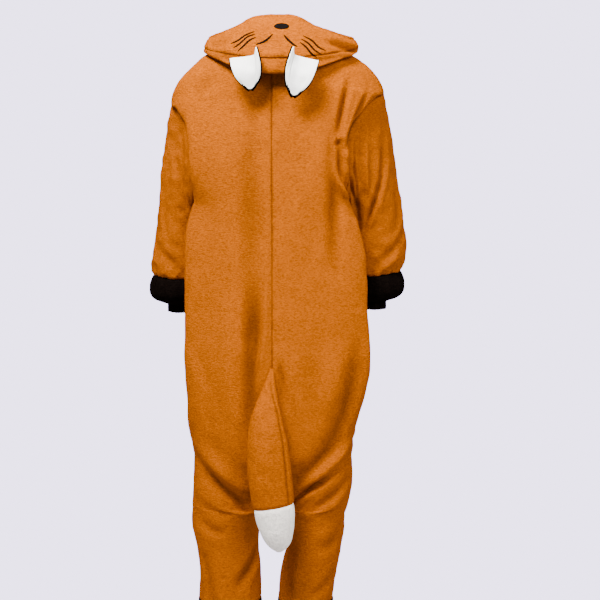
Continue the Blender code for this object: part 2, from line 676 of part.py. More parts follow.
def add_hood(parts):
    halves = []
    for side in (RIGHT, LEFT):
        part = parts[side]
        back, front = part["grids"]["back"][0], part["grids"]["front"][0]
        back_out, front_out = part["normals"]["back"][0], part["normals"]["front"][0]
        neck = np.concatenate([back, front[-2::-1]])
        neck_out = np.concatenate([back_out, front_out[-2::-1]])
        neck[0, 0] = 0
        neck[-1, 0] = 0.004
        halves.append(hood_grid(side, neck, neck_out))
    right = mirrored(halves[0])[:, :0:-1]
    grid = np.concatenate([right, halves[1]], axis=1)
    across = row_steps(grid.swapaxes(0, 1)).swapaxes(0, 1)
    normals = unit(np.cross(across, -row_steps(grid)))
    cloth("hood_back", grid[: SEAM_ROW + 1], normals[: SEAM_ROW + 1], "orange")
    face, face_out = grid[SEAM_ROW:].copy(), normals[SEAM_ROW:]
    face[0, 1:-1] = moved_off(face[0], face_out[0], face[1], GAP)[1:-1]
    face[0, [0, -1]] += unit(face[1] - face[0])[[0, -1]] * GAP
    cloth("hood_face", face, face_out, "orange")
    return face


def add_nose(face):
    """A flat oval patch on the hood below its rim, bowed as the hood is there."""
    behind = face[-1, :, 1] > 0
    column = np.argmin(np.where(behind, np.abs(face[-2, :, 0] - NOSE_X), 1))
    row = np.argmax(face[:, column, 2] > NOSE_Z)
    low, high = face[row - 1 : row + 1, column]
    share = (NOSE_Z - low[2]) / (high[2] - low[2])
    centre = low + (high - low) * share
    along = unit(face[row, column + 1] - face[row, column - 1])
    out = unit(np.cross(high - low, along))
    out = out * np.sign(out[1])
    up = np.cross(out, along)
    centre = centre + along * (NOSE_X - centre[0]) / along[0]
    angle = np.arange(NOSE_SIDES) * 2 * math.pi / NOSE_SIDES
    rings = []
    for size in NOSE_RINGS:
        x = NOSE_HALF_WIDTH * size * np.cos(angle)
        z = NOSE_HALF_HEIGHT * size * np.sin(angle)
        bow = -NOSE_BOW * x**2
        rings.append(centre + x[:, None] * along + z[:, None] * up + bow[:, None] * out)
    inside = np.array(rings) + out * NOSE_CLEAR
    padded("nose", np.concatenate([inside[::-1], inside + out * NOSE_WALL]), "black")


# ---------------------------------------------------------------- ears and tail


def ear_grid(ear, seam):
    """A leaf folded along its length: its section is an arc, tighter on the inner side and near the base."""
    down = unit(np.array(ear["lean"]))
    across = unit(np.cross(down, (0, 1, 0)))
    across = across * np.sign(across[0])
    out = unit(np.cross(across, down))
    out = out * np.sign(out[1])
    v = np.linspace(0, 1, EAR_ROWS + 1)[:, None]
    u = np.linspace(-1, 1, EAR_COLUMNS + 1)[None, :]
    width = ear["half"] * (1 - 0.12 * v - 0.72 * v**3)
    inner = u * ear["inner"] > 0
    curl = np.where(inner, 1.3 * (1 - v) + 0.3, 0.3 * (1 - v) + 0.15)
    x = width * np.sin(curl * u) / curl
    lift = width * (1 - np.cos(curl * u)) / curl
    flap = np.where(inner, 0.012, 0.0) * u**2 * (1 - v) ** 2
    z = ear["long"] * v - flap
    behind = seam[seam[:, 1] > 0.06]
    order = np.argsort(behind[:, 0])
    y, z_seam = (np.interp(ear["x"], behind[order, 0], behind[order, axis]) for axis in (1, 2))
    place = np.array([ear["x"], y + EAR_CLEAR, z_seam])
    sag = 0.010 * np.sin(math.pi * v)
    return place + across * x[..., None] + down * z[..., None] + out * (lift + sag)[..., None]


def add_ears(seam):
    for word, ear in EARS.items():
        grid = ear_grid(ear, seam)
        across = np.gradient(grid, axis=1)
        normals = unit(np.cross(across, np.gradient(grid, axis=0)))
        if normals[2, EAR_COLUMNS // 2, 1] < 0:
            normals = -normals
        cloth(f"ear_{word}_front", grid, normals, "white")
        behind = grid - normals * (WALL + GAP)
        cloth(f"ear_{word}_back", behind, normals, "black")


def tail_rings():
    angle = np.arange(TAIL_SIDES) * 2 * math.pi / TAIL_SIDES
    x = TAIL["x"][:, None] + TAIL["half_width"][:, None] * np.cos(angle)
    y = TAIL["y"][:, None] + TAIL["half_depth"][:, None] * np.sin(angle)
    return stack(x, y, TAIL["z"][:, None])


def add_tail():
    rings = tail_rings()
    padded("tail", rings[: TAIL_SEAM_ROW + 1], "orange")
    tip = rings[TAIL_SEAM_ROW:].copy()
    tip[0, :, 2] -= GAP
    padded("tail_tip", tip, "white")


def main():
    for old in list(bpy.data.objects):
        bpy.data.objects.remove(old, do_unlink=True)
    parts = {}
    for side in (LEFT, RIGHT):
        grids, normals, sleeve, sleeve_out = build_side(side)
        parts[side] = dict(grids=grids, normals=normals)
        add_panels(side, grids, normals)
        add_sleeve(side, sleeve, sleeve_out)
        add_leg_band(side, grids, normals)
    fronts = {
        side: dict(grid=parts[side]["grids"]["front"], out=parts[side]["normals"]["front"])
        for side in parts
    }
    add_placket(fronts[LEFT], fronts[RIGHT])
    face = add_hood(parts)
    add_nose(face)
    add_ears(face[0])
    add_tail()


main()
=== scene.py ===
"""Fox onesie: fleece panels, hood, ears, stuffed tail, bands and front opening, on a plain stage.

Metres, +Z up. The wearer would face -Y, so the back is at +Y and the wearer's left side at +X. Each side is
worked out with x counted outwards, and the right side is mirrored.
"""

import math

import bpy
import numpy as np
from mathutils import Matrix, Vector


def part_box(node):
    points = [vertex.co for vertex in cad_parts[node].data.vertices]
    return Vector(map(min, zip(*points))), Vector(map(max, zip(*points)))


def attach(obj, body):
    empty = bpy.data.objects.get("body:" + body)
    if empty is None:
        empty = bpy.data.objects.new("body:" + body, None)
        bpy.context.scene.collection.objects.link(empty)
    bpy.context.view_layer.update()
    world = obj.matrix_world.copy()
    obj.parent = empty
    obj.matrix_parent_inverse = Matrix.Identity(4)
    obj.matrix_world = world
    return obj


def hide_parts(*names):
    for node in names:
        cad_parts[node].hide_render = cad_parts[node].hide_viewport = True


bl_info = {
    "name": "Fox onesie",
    "version": (1, 0, 0),
    "blender": (4, 5, 0),
    "location": "View3D > Sidebar > Fox Onesie",
    "description": "Builds the cloth, the trim and the stage of a fox onesie",
    "category": "Object",
}

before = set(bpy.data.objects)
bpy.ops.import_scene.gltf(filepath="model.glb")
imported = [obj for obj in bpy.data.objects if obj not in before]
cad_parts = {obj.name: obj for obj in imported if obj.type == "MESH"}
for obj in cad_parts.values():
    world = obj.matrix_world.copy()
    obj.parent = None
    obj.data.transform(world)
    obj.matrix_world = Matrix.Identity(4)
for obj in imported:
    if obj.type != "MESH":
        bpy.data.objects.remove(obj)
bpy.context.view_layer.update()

LEFT, RIGHT = 1, -1
WALL = 0.0025  # thickness of the fleece
HOLLOW = 0.014  # depth of a fold at which the painted shade at its bottom is darkest
DARKEST = 0.48  # the colour's share that the painted shade leaves there
SEAM_PAINTED_SHADE = 0.8  # how dark the painted shade along a seam's groove is, as a share of the darkest fold's
WORDS = {LEFT: "left", RIGHT: "right"}

# How the panels are laid out
BACK_COLUMNS, FRONT_COLUMNS = 8, 6
SHOULDER_ROWS, ARMHOLE_ROWS, SLEEVE_ROWS = 3, 7, 10
ARMPIT_ROW = SHOULDER_ROWS + ARMHOLE_ROWS
HALF_ROUND = BACK_COLUMNS + FRONT_COLUMNS  # columns from the centre back to the centre front
NECK_RADIUS = 0.078
SHOULDER_NECK_Z = -0.030
CROTCH_Z, LEG_END_Z = -1.100, -1.3225
SEAT_RISE, SEAT_ROUND = 0.150, 2.3
SQUARENESS = 0.80  # below 1 the trunk's sections are squarer than an ellipse
ROW_STEP = 0.0046  # longest distance between two rows of the cloth
ARMHOLE_HALF_DEPTH = 0.092
SLEEVE_BAND_HEIGHT, WRIST_RIB_HEIGHT, LEG_BAND_HEIGHT = 0.064, 0.018, 0.066


def table(names, *rows):
    """Named columns of a short table."""
    return dict(zip(names.split(), np.array(rows, float).T))


# The trunk's middle line, from the neck down. back and front are the distances from the middle plane.
NECK_TO_ARMPIT = table(
    "z_back z_front back front corner",
    (-0.028, -0.085, 0.076, 0.086, 0.000),
    (-0.055, -0.105, 0.089, 0.100, 0.000),
    (-0.084, -0.126, 0.100, 0.110, 0.000),
    (-0.116, -0.150, 0.108, 0.118, 0.000),
    (-0.134, -0.164, 0.111, 0.121, 0.000),
    (-0.166, -0.192, 0.115, 0.125, 0.000),
    (-0.212, -0.232, 0.118, 0.129, 0.000),
    (-0.266, -0.280, 0.119, 0.132, 0.000),
    (-0.320, -0.330, 0.119, 0.133, 0.000),
    (-0.370, -0.376, 0.119, 0.133, 0.005),
    (-0.400, -0.400, 0.119, 0.133, 0.013),
)
# Below the armpit: side is the distance of the side seam, corner how far the back stands out beyond it.
TRUNK = table(
    "z back front left left_corner right right_corner",
    (-0.400, 0.119, 0.133, 0.176, 0.013, 0.166, 0.013),
    (-0.422, 0.119, 0.133, 0.160, 0.040, 0.154, 0.038),
    (-0.450, 0.119, 0.134, 0.148, 0.056, 0.148, 0.056),
    (-0.510, 0.119, 0.135, 0.136, 0.070, 0.145, 0.074),
    (-0.580, 0.120, 0.135, 0.132, 0.076, 0.145, 0.080),
    (-0.640, 0.122, 0.134, 0.134, 0.074, 0.148, 0.079),
    (-0.700, 0.124, 0.133, 0.152, 0.058, 0.165, 0.065),
    (-0.760, 0.126, 0.132, 0.176, 0.034, 0.192, 0.040),
    (-0.820, 0.127, 0.131, 0.190, 0.016, 0.204, 0.018),
    (-0.880, 0.126, 0.129, 0.196, 0.005, 0.201, 0.004),
    (-0.930, 0.124, 0.127, 0.192, 0.000, 0.189, 0.000),
    (-0.970, 0.121, 0.124, 0.183, 0.000, 0.182, 0.000),
    (-1.005, 0.116, 0.120, 0.183, 0.000, 0.184, 0.000),
    (-1.035, 0.110, 0.115, 0.186, 0.000, 0.184, 0.000),
    (-1.060, 0.104, 0.110, 0.188, 0.000, 0.181, 0.000),
    (-1.080, 0.099, 0.105, 0.188, 0.000, 0.177, 0.000),
    (-1.093, 0.096, 0.101, 0.188, 0.000, 0.174, 0.000),
    (CROTCH_Z, 0.094, 0.099, 0.188, 0.000, 0.172, 0.000),
)
LEGS = table(
    "z back front left left_inner right right_inner",
    (CROTCH_Z, 0.094, 0.099, 0.188, 0.0, 0.172, 0.0),
    (-1.125, 0.090, 0.095, 0.188, 0.019, 0.164, 0.018),
    (-1.160, 0.086, 0.090, 0.186, 0.031, 0.162, 0.027),
    (-1.200, 0.082, 0.086, 0.179, 0.034, 0.158, 0.029),
    (-1.240, 0.080, 0.083, 0.175, 0.030, 0.153, 0.020),
    (-1.280, 0.079, 0.081, 0.174, 0.029, 0.146, 0.015),
    (LEG_END_Z, 0.078, 0.079, 0.176, 0.028, 0.140, 0.011),
)
CROTCH_ROW = ARMPIT_ROW + len(TRUNK["z"]) - 1
LAST_ROW = CROTCH_ROW + len(LEGS["z"]) - 1
SLEEVES = {
    LEFT: table(
        "outer_x outer_z inner_x inner_z half_depth y",
        (0.2285, -0.177, 0.176, -0.400, 0.092, 0.000),
        (0.2380, -0.215, 0.175, -0.418, 0.088, -0.022),
        (0.2450, -0.255, 0.171, -0.436, 0.085, -0.039),
        (0.2520, -0.297, 0.166, -0.455, 0.082, -0.051),
        (0.2580, -0.340, 0.162, -0.474, 0.080, -0.060),
        (0.2630, -0.384, 0.159, -0.494, 0.079, -0.067),
        (0.2680, -0.428, 0.157, -0.513, 0.078, -0.072),
        (0.2730, -0.468, 0.155, -0.531, 0.077, -0.076),
        (0.2790, -0.505, 0.154, -0.548, 0.076, -0.078),
        (0.2850, -0.540, 0.153, -0.564, 0.074, -0.081),
        (0.2820, -0.572, 0.154, -0.580, 0.070, -0.083),
    ),
    RIGHT: table(
        "outer_x outer_z inner_x inner_z half_depth y",
        (0.2505, -0.150, 0.166, -0.400, 0.092, 0.000),
        (0.2590, -0.196, 0.170, -0.418, 0.088, -0.026),
        (0.2680, -0.242, 0.171, -0.435, 0.085, -0.039),
        (0.2760, -0.286, 0.169, -0.454, 0.082, -0.051),
        (0.2830, -0.330, 0.167, -0.473, 0.080, -0.060),
        (0.2900, -0.376, 0.166, -0.492, 0.079, -0.067),
        (0.2960, -0.420, 0.166, -0.511, 0.078, -0.072),
        (0.3030, -0.460, 0.166, -0.529, 0.077, -0.076),
        (0.3090, -0.497, 0.166, -0.546, 0.076, -0.078),
        (0.3080, -0.532, 0.167, -0.562, 0.074, -0.081),
        (0.2990, -0.562, 0.169, -0.576, 0.070, -0.083),
    ),
}
# How the armhole seam swings in from the shoulder: the swing and how soon it is over.
ARMHOLE = {LEFT: (0.184, 0.0445, 8.0), RIGHT: (0.161, 0.0895, 4.7)}
# A band's rings: share of the way down, and its width and depth as shares of the sleeve's end.
SLEEVE_BAND = table(
    "down wide deep",
    (0.00, 1.00, 1.00),
    (0.15, 1.08, 1.07),
    (0.40, 1.15, 1.12),
    (0.66, 1.12, 1.08),
    (0.87, 0.90, 0.88),
    (1.00, 0.50, 0.62),
)
LEG_BAND = table(
    "down wide deep",
    (0.00, 1.00, 1.00),
    (0.20, 1.02, 1.02),
    (0.48, 1.00, 1.00),
    (0.74, 0.92, 0.93),
    (1.00, 0.78, 0.80),
)
# Hood: one row a station, from the back to the front. fold is the lowest line of the thrown-back hood, rim
# its free edge, round how widely it turns at the fold, sag how far the upper side bellies out below the rim.
HOOD = {
    LEFT: table(
        "turn fold_x fold_y fold_z rim_x rim_y rim_z round sag",
        (0, 0.000, 0.138, -0.112, 0.000, 0.090, 0.0165, 0.020, 0.034),
        (18, 0.046, 0.134, -0.106, 0.038, 0.090, 0.0120, 0.018, 0.030),
        (36, 0.090, 0.116, -0.092, 0.074, 0.084, -0.0070, 0.015, 0.026),
        (54, 0.124, 0.088, -0.078, 0.104, 0.066, -0.0180, 0.012, 0.020),
        (72, 0.146, 0.050, -0.066, 0.128, 0.038, -0.0260, 0.014, 0.014),
        (90, 0.149, 0.010, -0.058, 0.136, 0.006, -0.0300, 0.013, 0.010),
        (108, 0.138, -0.030, -0.055, 0.126, -0.026, -0.0240, 0.013, 0.010),
        (126, 0.114, -0.068, -0.065, 0.102, -0.056, -0.0280, 0.013, 0.010),
        (144, 0.082, -0.104, -0.088, 0.072, -0.082, -0.0420, 0.013, 0.010),
        (162, 0.044, -0.124, -0.102, 0.038, -0.100, -0.0520, 0.013, 0.010),
        (180, 0.004, -0.130, -0.108, 0.004, -0.107, -0.0560, 0.013, 0.010),
    ),
    RIGHT: table(
        "turn fold_x fold_y fold_z rim_x rim_y rim_z round sag",
        (0, 0.000, 0.138, -0.112, 0.000, 0.090, 0.0165, 0.020, 0.034),
        (18, 0.060, 0.134, -0.108, 0.052, 0.090, 0.0140, 0.018, 0.030),
        (36, 0.116, 0.114, -0.092, 0.092, 0.084, -0.0060, 0.015, 0.026),
        (54, 0.160, 0.086, -0.076, 0.132, 0.066, -0.0190, 0.012, 0.020),
        (72, 0.184, 0.050, -0.066, 0.162, 0.038, -0.0270, 0.014, 0.014),
        (90, 0.188, 0.010, -0.056, 0.174, 0.006, -0.0290, 0.013, 0.010),
        (108, 0.168, -0.030, -0.054, 0.154, -0.026, -0.0240, 0.013, 0.010),
        (126, 0.132, -0.068, -0.063, 0.118, -0.056, -0.0270, 0.013, 0.010),
        (144, 0.090, -0.104, -0.086, 0.078, -0.082, -0.0410, 0.013, 0.010),
        (162, 0.046, -0.124, -0.102, 0.040, -0.100, -0.0520, 0.013, 0.010),
        (180, 0.004, -0.130, -0.108, 0.004, -0.107, -0.0560, 0.013, 0.010),
    ),
}
UNDER_STEPS, OVER_STEPS = 24, 60  # rows of the hood before and after the fold
HOOD_SEAM = UNDER_STEPS + OVER_STEPS // 3  # the ears are sewn into this seam
HEM = 0.011  # width of the hood's turned hem
TAIL = table(
    "z x half_width half_depth y",
    (-0.757, 0.001, 0.0035, 0.0025, 0.1345),
    (-0.775, 0.003, 0.0090, 0.0060, 0.1390),
    (-0.800, 0.006, 0.0160, 0.0110, 0.1430),
    (-0.835, 0.010, 0.0265, 0.0170, 0.1490),
    (-0.875, 0.012, 0.0375, 0.0230, 0.1540),
    (-0.920, 0.010, 0.0460, 0.0280, 0.1570),
    (-0.965, 0.007, 0.0490, 0.0310, 0.1580),
    (-1.010, 0.004, 0.0490, 0.0325, 0.1570),
    (-1.050, 0.000, 0.0465, 0.0320, 0.1550),
    (-1.080, -0.003, 0.0445, 0.0310, 0.1530),
    (-1.105, -0.006, 0.0420, 0.0295, 0.1510),
    (-1.130, -0.009, 0.0370, 0.0260, 0.1490),
    (-1.150, -0.012, 0.0290, 0.0200, 0.1475),
    (-1.163, -0.014, 0.0190, 0.0130, 0.1465),
    (-1.172, -0.015, 0.0060, 0.0050, 0.1460),
)
TAIL_SEAM_ROW = 9  # the tip begins at this row
TAIL_SEAM = 0.76  # how far to the right of its middle the tail's long seam lies, as a share of its half-width
# Ears: where along the hood's seam, the direction down the ear, half-width, length and inner side
EARS = {
    "left": dict(x=0.054, lean=(-0.13, 0.14, -1.0), half=0.036, long=0.070, inner=-1),
    "right": dict(x=-0.067, lean=(0.24, 0.14, -1.0), half=0.036, long=0.084, inner=1),
}
EAR_CLEAR = 0.0065
NOSE_X, NOSE_Z = -0.022, -0.010
NOSE_HALF_WIDTH, NOSE_HALF_HEIGHT = 0.0165, 0.0065

# Folds of a body panel: path (x outwards, z), width, depth and how strong each end is.
# A depth below 0 stands out as a ridge.
BODY_FOLDS = {
    ("back", LEFT): (
        (((0.054, -0.08), (0.050, -0.30), (0.052, -0.52), (0.046, -0.68)), 0.026, 0.0062, 0.2, 0.7),
        (((0.014, -0.40), (0.012, -0.55), (0.021, -0.69), (0.032, -0.77), (0.038, -0.88)),
         0.0075, -0.0052, 0, 0),
        (((0.040, -0.54), (0.048, -0.68), (0.050, -0.80), (0.045, -0.98)), 0.020, 0.0150, 0, 0.2),
        (((0.100, -0.56), (0.108, -0.72), (0.104, -0.92)), 0.030, -0.0060, 0, 0),
        (((0.170, -0.985), (0.125, -1.028), (0.080, -1.066), (0.040, -1.104)), 0.013, 0.0085, 0.3, 0.4),
        (((0.170, -0.945), (0.120, -0.995), (0.075, -1.035), (0.045, -1.065)), 0.018, -0.0090, 0.3, 0),
        (((0.170, -1.050), (0.125, -1.085), (0.075, -1.112)), 0.014, -0.0035, 0.4, 0),
        (((0.170, -1.110), (0.145, -1.140), (0.098, -1.152)), 0.010, 0.0045, 0.5, 0),
        (((0.160, -1.215), (0.150, -1.270), (0.138, -1.320)), 0.012, 0.0040, 0.6, 1),
        (((0.034, -1.180), (0.062, -1.250), (0.092, -1.300)), 0.012, 0.0050, 0.8, 0),
        (((0.120, -1.180), (0.112, -1.250), (0.120, -1.320)), 0.018, -0.0035, 0, 1),
        (((0.105, -0.20), (0.112, -0.36), (0.108, -0.56)), 0.028, -0.0030, 0, 0),
        (((0.150, -0.62), (0.140, -0.78), (0.134, -0.92)), 0.024, 0.0025, 0, 0),
        (((0.100, -0.09), (0.150, -0.14), (0.176, -0.20)), 0.016, 0.0025, 0, 0),
    ),
    ("back", RIGHT): (
        (((0.138, -0.16), (0.139, -0.38), (0.138, -0.62)), 0.014, 0.0090, 0, 0),
        (((0.172, -0.105), (0.155, -0.185), (0.144, -0.262)), 0.0062, 0.0095, 0, 0.3),
        (((0.150, -0.100), (0.138, -0.170), (0.130, -0.240)), 0.011, -0.0045, 0, 0),
        (((0.214, -0.131), (0.186, -0.205), (0.160, -0.275)), 0.0065, 0.0080, 0, 0.5),
        (((0.150, -0.262), (0.156, -0.340), (0.168, -0.400), (0.186, -0.470)), 0.0075, 0.0105, 1, 0),
        (((0.152, -0.250), (0.146, -0.340), (0.152, -0.430)), 0.010, -0.0045, 0, 0),
        (((0.198, -0.620), (0.188, -0.757), (0.166, -0.860), (0.126, -0.953), (0.066, -1.020)),
         0.022, 0.0095, 0, 0.4),
        (((0.140, -0.680), (0.130, -0.800), (0.104, -0.890)), 0.026, -0.0055, 0, 0),
        (((0.186, -0.925), (0.129, -0.984), (0.096, -1.012), (0.050, -1.050)), 0.012, -0.0090, 0.4, 0),
        (((0.150, -0.996), (0.100, -1.030), (0.070, -1.052), (0.036, -1.082)), 0.0068, 0.0110, 0, 0.7),
        (((0.172, -1.025), (0.123, -1.066), (0.076, -1.094)), 0.010, 0.0045, 0.5, 0),
        (((0.168, -1.050), (0.110, -1.096), (0.070, -1.118)), 0.012, -0.0035, 0.5, 0),
        (((0.050, -0.26), (0.058, -0.48), (0.050, -0.66)), 0.028, 0.0025, 0, 0),
        (((0.090, -0.16), (0.096, -0.34), (0.092, -0.52)), 0.028, -0.0035, 0, 0),
        (((0.012, -0.73), (0.018, -0.79), (0.028, -0.87)), 0.009, 0.0085, 0, 0),
        (((0.156, -1.140), (0.130, -1.176), (0.090, -1.190)), 0.012, 0.0035, 0.6, 0),
        (((0.060, -1.150), (0.056, -1.230), (0.050, -1.320)), 0.014, -0.0035, 0, 1),
        (((0.140, -1.250), (0.110, -1.285), (0.070, -1.300)), 0.012, 0.0040, 0.6, 0),
    ),
    ("front", LEFT): (
        (((0.150, -0.43), (0.126, -0.60), (0.110, -0.80)), 0.018, 0.0080, 0.6, 0),
        (((0.060, -0.20), (0.068, -0.44), (0.062, -0.66)), 0.020, 0.0045, 0, 0),
        (((0.120, -0.13), (0.140, -0.22), (0.150, -0.32)), 0.012, 0.0050, 0, 0),
        (((0.190, -0.880), (0.130, -0.980), (0.050, -1.060)), 0.014, 0.0090, 0.5, 0),
        (((0.190, -0.960), (0.120, -1.040), (0.060, -1.090)), 0.012, -0.0055, 0.5, 0),
        (((0.186, -1.130), (0.130, -1.170), (0.080, -1.180)), 0.011, 0.0065, 1, 0),
        (((0.060, -1.200), (0.100, -1.260), (0.140, -1.290)), 0.012, 0.0055, 0, 0),
        (((0.100, -0.66), (0.092, -0.80), (0.080, -0.92)), 0.018, -0.0045, 0, 0),
    ),
    ("front", RIGHT): (
        (((0.145, -0.42), (0.124, -0.56), (0.105, -0.74)), 0.018, 0.0090, 0.6, 0),
        (((0.058, -0.26), (0.064, -0.50), (0.072, -0.70)), 0.020, 0.0045, 0, 0),
        (((0.130, -0.14), (0.128, -0.24), (0.136, -0.34)), 0.011, 0.0055, 0, 0),
        (((0.196, -0.840), (0.120, -0.950), (0.045, -1.040)), 0.013, 0.0100, 0.5, 0),
        (((0.184, -0.960), (0.110, -1.030), (0.060, -1.080)), 0.012, -0.0055, 0.5, 0),
        (((0.160, -1.150), (0.110, -1.190), (0.070, -1.200)), 0.011, 0.0065, 1, 0),
        (((0.050, -1.220), (0.090, -1.280), (0.130, -1.300)), 0.012, 0.0050, 0, 0),
        (((0.104, -0.72), (0.090, -0.84), (0.082, -0.94)), 0.018, -0.0045, 0, 0),
    ),
}
# Folds of a sleeve: path (x outwards, z), the side it is on (1 back, -1 front), width, depth and ends.
SLEEVE_FOLDS = {
    LEFT: (
        (((0.205, -0.22), (0.199, -0.33), (0.194, -0.43)), 1, 0.012, 0.0040, 0, 0),
        (((0.222, -0.26), (0.220, -0.38), (0.208, -0.50)), 1, 0.016, -0.0030, 0, 0),
        (((0.240, -0.34), (0.246, -0.43), (0.238, -0.51)), 1, 0.013, 0.0025, 0, 0),
        (((0.270, -0.508), (0.240, -0.530), (0.205, -0.542)), 1, 0.009, 0.0035, 0.6, 0),
        (((0.278, -0.534), (0.250, -0.556), (0.215, -0.562)), 1, 0.008, -0.0025, 0.6, 0),
        (((0.210, -0.22), (0.214, -0.34), (0.206, -0.46)), -1, 0.012, 0.0060, 0, 0),
        (((0.190, -0.36), (0.216, -0.44), (0.252, -0.48)), -1, 0.012, 0.0085, 0.5, 0),
        (((0.180, -0.46), (0.214, -0.51), (0.260, -0.53)), -1, 0.010, 0.0065, 0.5, 0),
    ),
    RIGHT: (
        (((0.251, -0.180), (0.247, -0.330), (0.222, -0.420), (0.200, -0.480)), 1, 0.012, 0.0085, 0, 0),
        (((0.172, -0.255), (0.171, -0.340), (0.192, -0.420), (0.204, -0.470)), 1, 0.009, 0.0080, 0.5, 0),
        (((0.192, -0.235), (0.182, -0.330), (0.196, -0.400)), 1, 0.008, 0.0060, 0, 0),
        (((0.281, -0.330), (0.293, -0.420), (0.290, -0.480)), 1, 0.012, -0.0055, 0, 0),
        (((0.212, -0.220), (0.212, -0.330), (0.216, -0.390)), 1, 0.011, -0.0050, 0, 0),
        (((0.296, -0.478), (0.268, -0.516), (0.222, -0.535)), 1, 0.010, 0.0042, 0.5, 0),
        (((0.300, -0.524), (0.262, -0.546), (0.225, -0.552)), 1, 0.008, -0.0030, 0.5, 0),
        (((0.225, -0.190), (0.222, -0.330), (0.205, -0.450)), -1, 0.012, 0.0065, 0, 0),
        (((0.195, -0.360), (0.230, -0.430), (0.280, -0.470)), -1, 0.012, 0.0085, 0.5, 0),
        (((0.188, -0.460), (0.230, -0.510), (0.284, -0.525)), -1, 0.010, 0.0065, 0.5, 0),
    ),
}
# Folds of the hood, in the row's own x: path (x, z), width, depth and ends.
HOOD_FOLDS = (
    (((-0.108, -0.036), (-0.150, -0.052), (-0.184, -0.062)), 0.0055, 0.0070, 0, 1),
    (((-0.118, -0.028), (-0.160, -0.040), (-0.190, -0.050)), 0.0060, -0.0040, 0, 1),
    (((-0.060, -0.092), (-0.110, -0.082), (-0.165, -0.072)), 0.0080, 0.0040, 0, 0),
    (((0.128, -0.052), (0.104, -0.046), (0.084, -0.030)), 0.0060, 0.0025, 1, 0),
    (((0.120, -0.072), (0.094, -0.078), (0.060, -0.088)), 0.0080, 0.0035, 0, 0),
    (((0.030, -0.060), (0.000, -0.070), (-0.034, -0.064)), 0.0090, -0.0030, 0, 0),
)

FLOOR_Z = -1.47
EYE, EYE_DOWN = (-0.0616, 3.40, -0.15), 7.9  # the camera, behind the garment, and the degrees it looks down
PAPER, PAPER_LIGHT = (0.792, 0.715, 1.0, 1), 4.2  # the room's colour and its light as the camera sees them

COLOURS = {
    "orange": (0.300, 0.0680, 0.0001),
    "black": (0.0030, 0.0019, 0.0016),
    "white": (0.96, 0.96, 0.96),
    "tip": (0.90, 0.84, 0.78),
    "button": (0.045, 0.022, 0.010),
}


# ---------------------------------------------------------------- curves and grids


def between(keys, values, at):
    """A smooth curve through the table's points, with no overshoot at its steps."""
    keys, values, at = np.asarray(keys, float), np.asarray(values, float), np.asarray(at, float)
    if keys[0] > keys[-1]:
        keys, values = keys[::-1], values[::-1]
    run = np.diff(keys)
    slope = np.diff(values) / run
    tangent = np.concatenate([slope[:1], (slope[1:] + slope[:-1]) / 2, slope[-1:]])
    flat = slope[1:] * slope[:-1] <= 0
    tangent[1:-1][flat] = 0
    i = np.clip(np.searchsorted(keys, at) - 1, 0, len(run) - 1)
    t = np.clip((at - keys[i]) / run[i], 0, 1)
    h = run[i]
    return (
        values[i] * (1 + 2 * t) * (1 - t) ** 2
        + tangent[i] * h * t * (1 - t) ** 2
        + values[i + 1] * t**2 * (3 - 2 * t)
        + tangent[i + 1] * h * t**2 * (t - 1)
    )


def unit(vectors):
    return vectors / np.maximum(np.linalg.norm(vectors, axis=-1, keepdims=True), 1e-12)


def stack(*columns):
    return np.stack(np.broadcast_arrays(*columns), axis=-1)


def smooth(t):
    t = np.clip(t, 0, 1)
    return t * t * (3 - 2 * t)


def along(points, places, closed=False):
    """Catmull-Rom curve through rows of points, read at fractional row numbers.

    For t from 0 to 1 between rows 1 and 2 of four neighbours p0 p1 p2 p3 it is
    p1 + t (p2 - p0) / 2 + t^2 (p0 - 5/2 p1 + 2 p2 - p3 / 2) + t^3 (3 (p1 - p2) + p3 - p0) / 2.
    """
    count = len(points)
    if closed:
        i = np.floor(places).astype(int)
        near = [points[(i + k) % count] for k in (-1, 0, 1, 2)]
    else:
        i = np.clip(np.floor(places).astype(int), 0, count - 2)
        ends = np.concatenate([2 * points[:1] - points[1:2], points, 2 * points[-1:] - points[-2:-1]])
        near = [ends[i + k] for k in (0, 1, 2, 3)]
    t = (places - i).reshape((-1,) + (1,) * (points.ndim - 1))
    p0, p1, p2, p3 = near
    return (
        p1
        + t * (p2 - p0) / 2
        + t**2 * (p0 - 2.5 * p1 + 2 * p2 - p3 / 2)
        + t**3 * (3 * (p1 - p2) + p3 - p0) / 2
    )


def refined(grid, rows, columns, closed=False):
    """A grid of points made finer both ways; a closed grid's columns run right round."""
    finer = along(grid, rows)
    return along(finer.swapaxes(0, 1), columns, closed).swapaxes(0, 1)


def spread(cells, last, edge=0.35):
    """Places from 0 to last that crowd towards both ends, where the seams are."""
    t = np.linspace(0, 1, cells + 1)
    return last * ((1 - edge) * t + edge * (1 - np.cos(math.pi * t)) / 2)


def steps(grid, closed=False):
    """Direction down the rows, at every point."""
    if closed:
        return np.roll(grid, -1, axis=0) - np.roll(grid, 1, axis=0)
    return np.concatenate([grid[1:2] - grid[:1], grid[2:] - grid[:-2], grid[-1:] - grid[-2:-1]])


def normals_of(grid, closed=False):
    """Directions square to a grid of points, by the cross product of its two steps."""
    across = steps(grid.swapaxes(0, 1), closed).swapaxes(0, 1)
    return unit(np.cross(across, steps(grid)))


def run_along(grid):
    """Distance along each row from its first point."""
    lengths = np.linalg.norm(np.diff(grid, axis=1), axis=-1)
    return np.concatenate([np.zeros((len(grid), 1)), np.cumsum(lengths, axis=1)], axis=1)


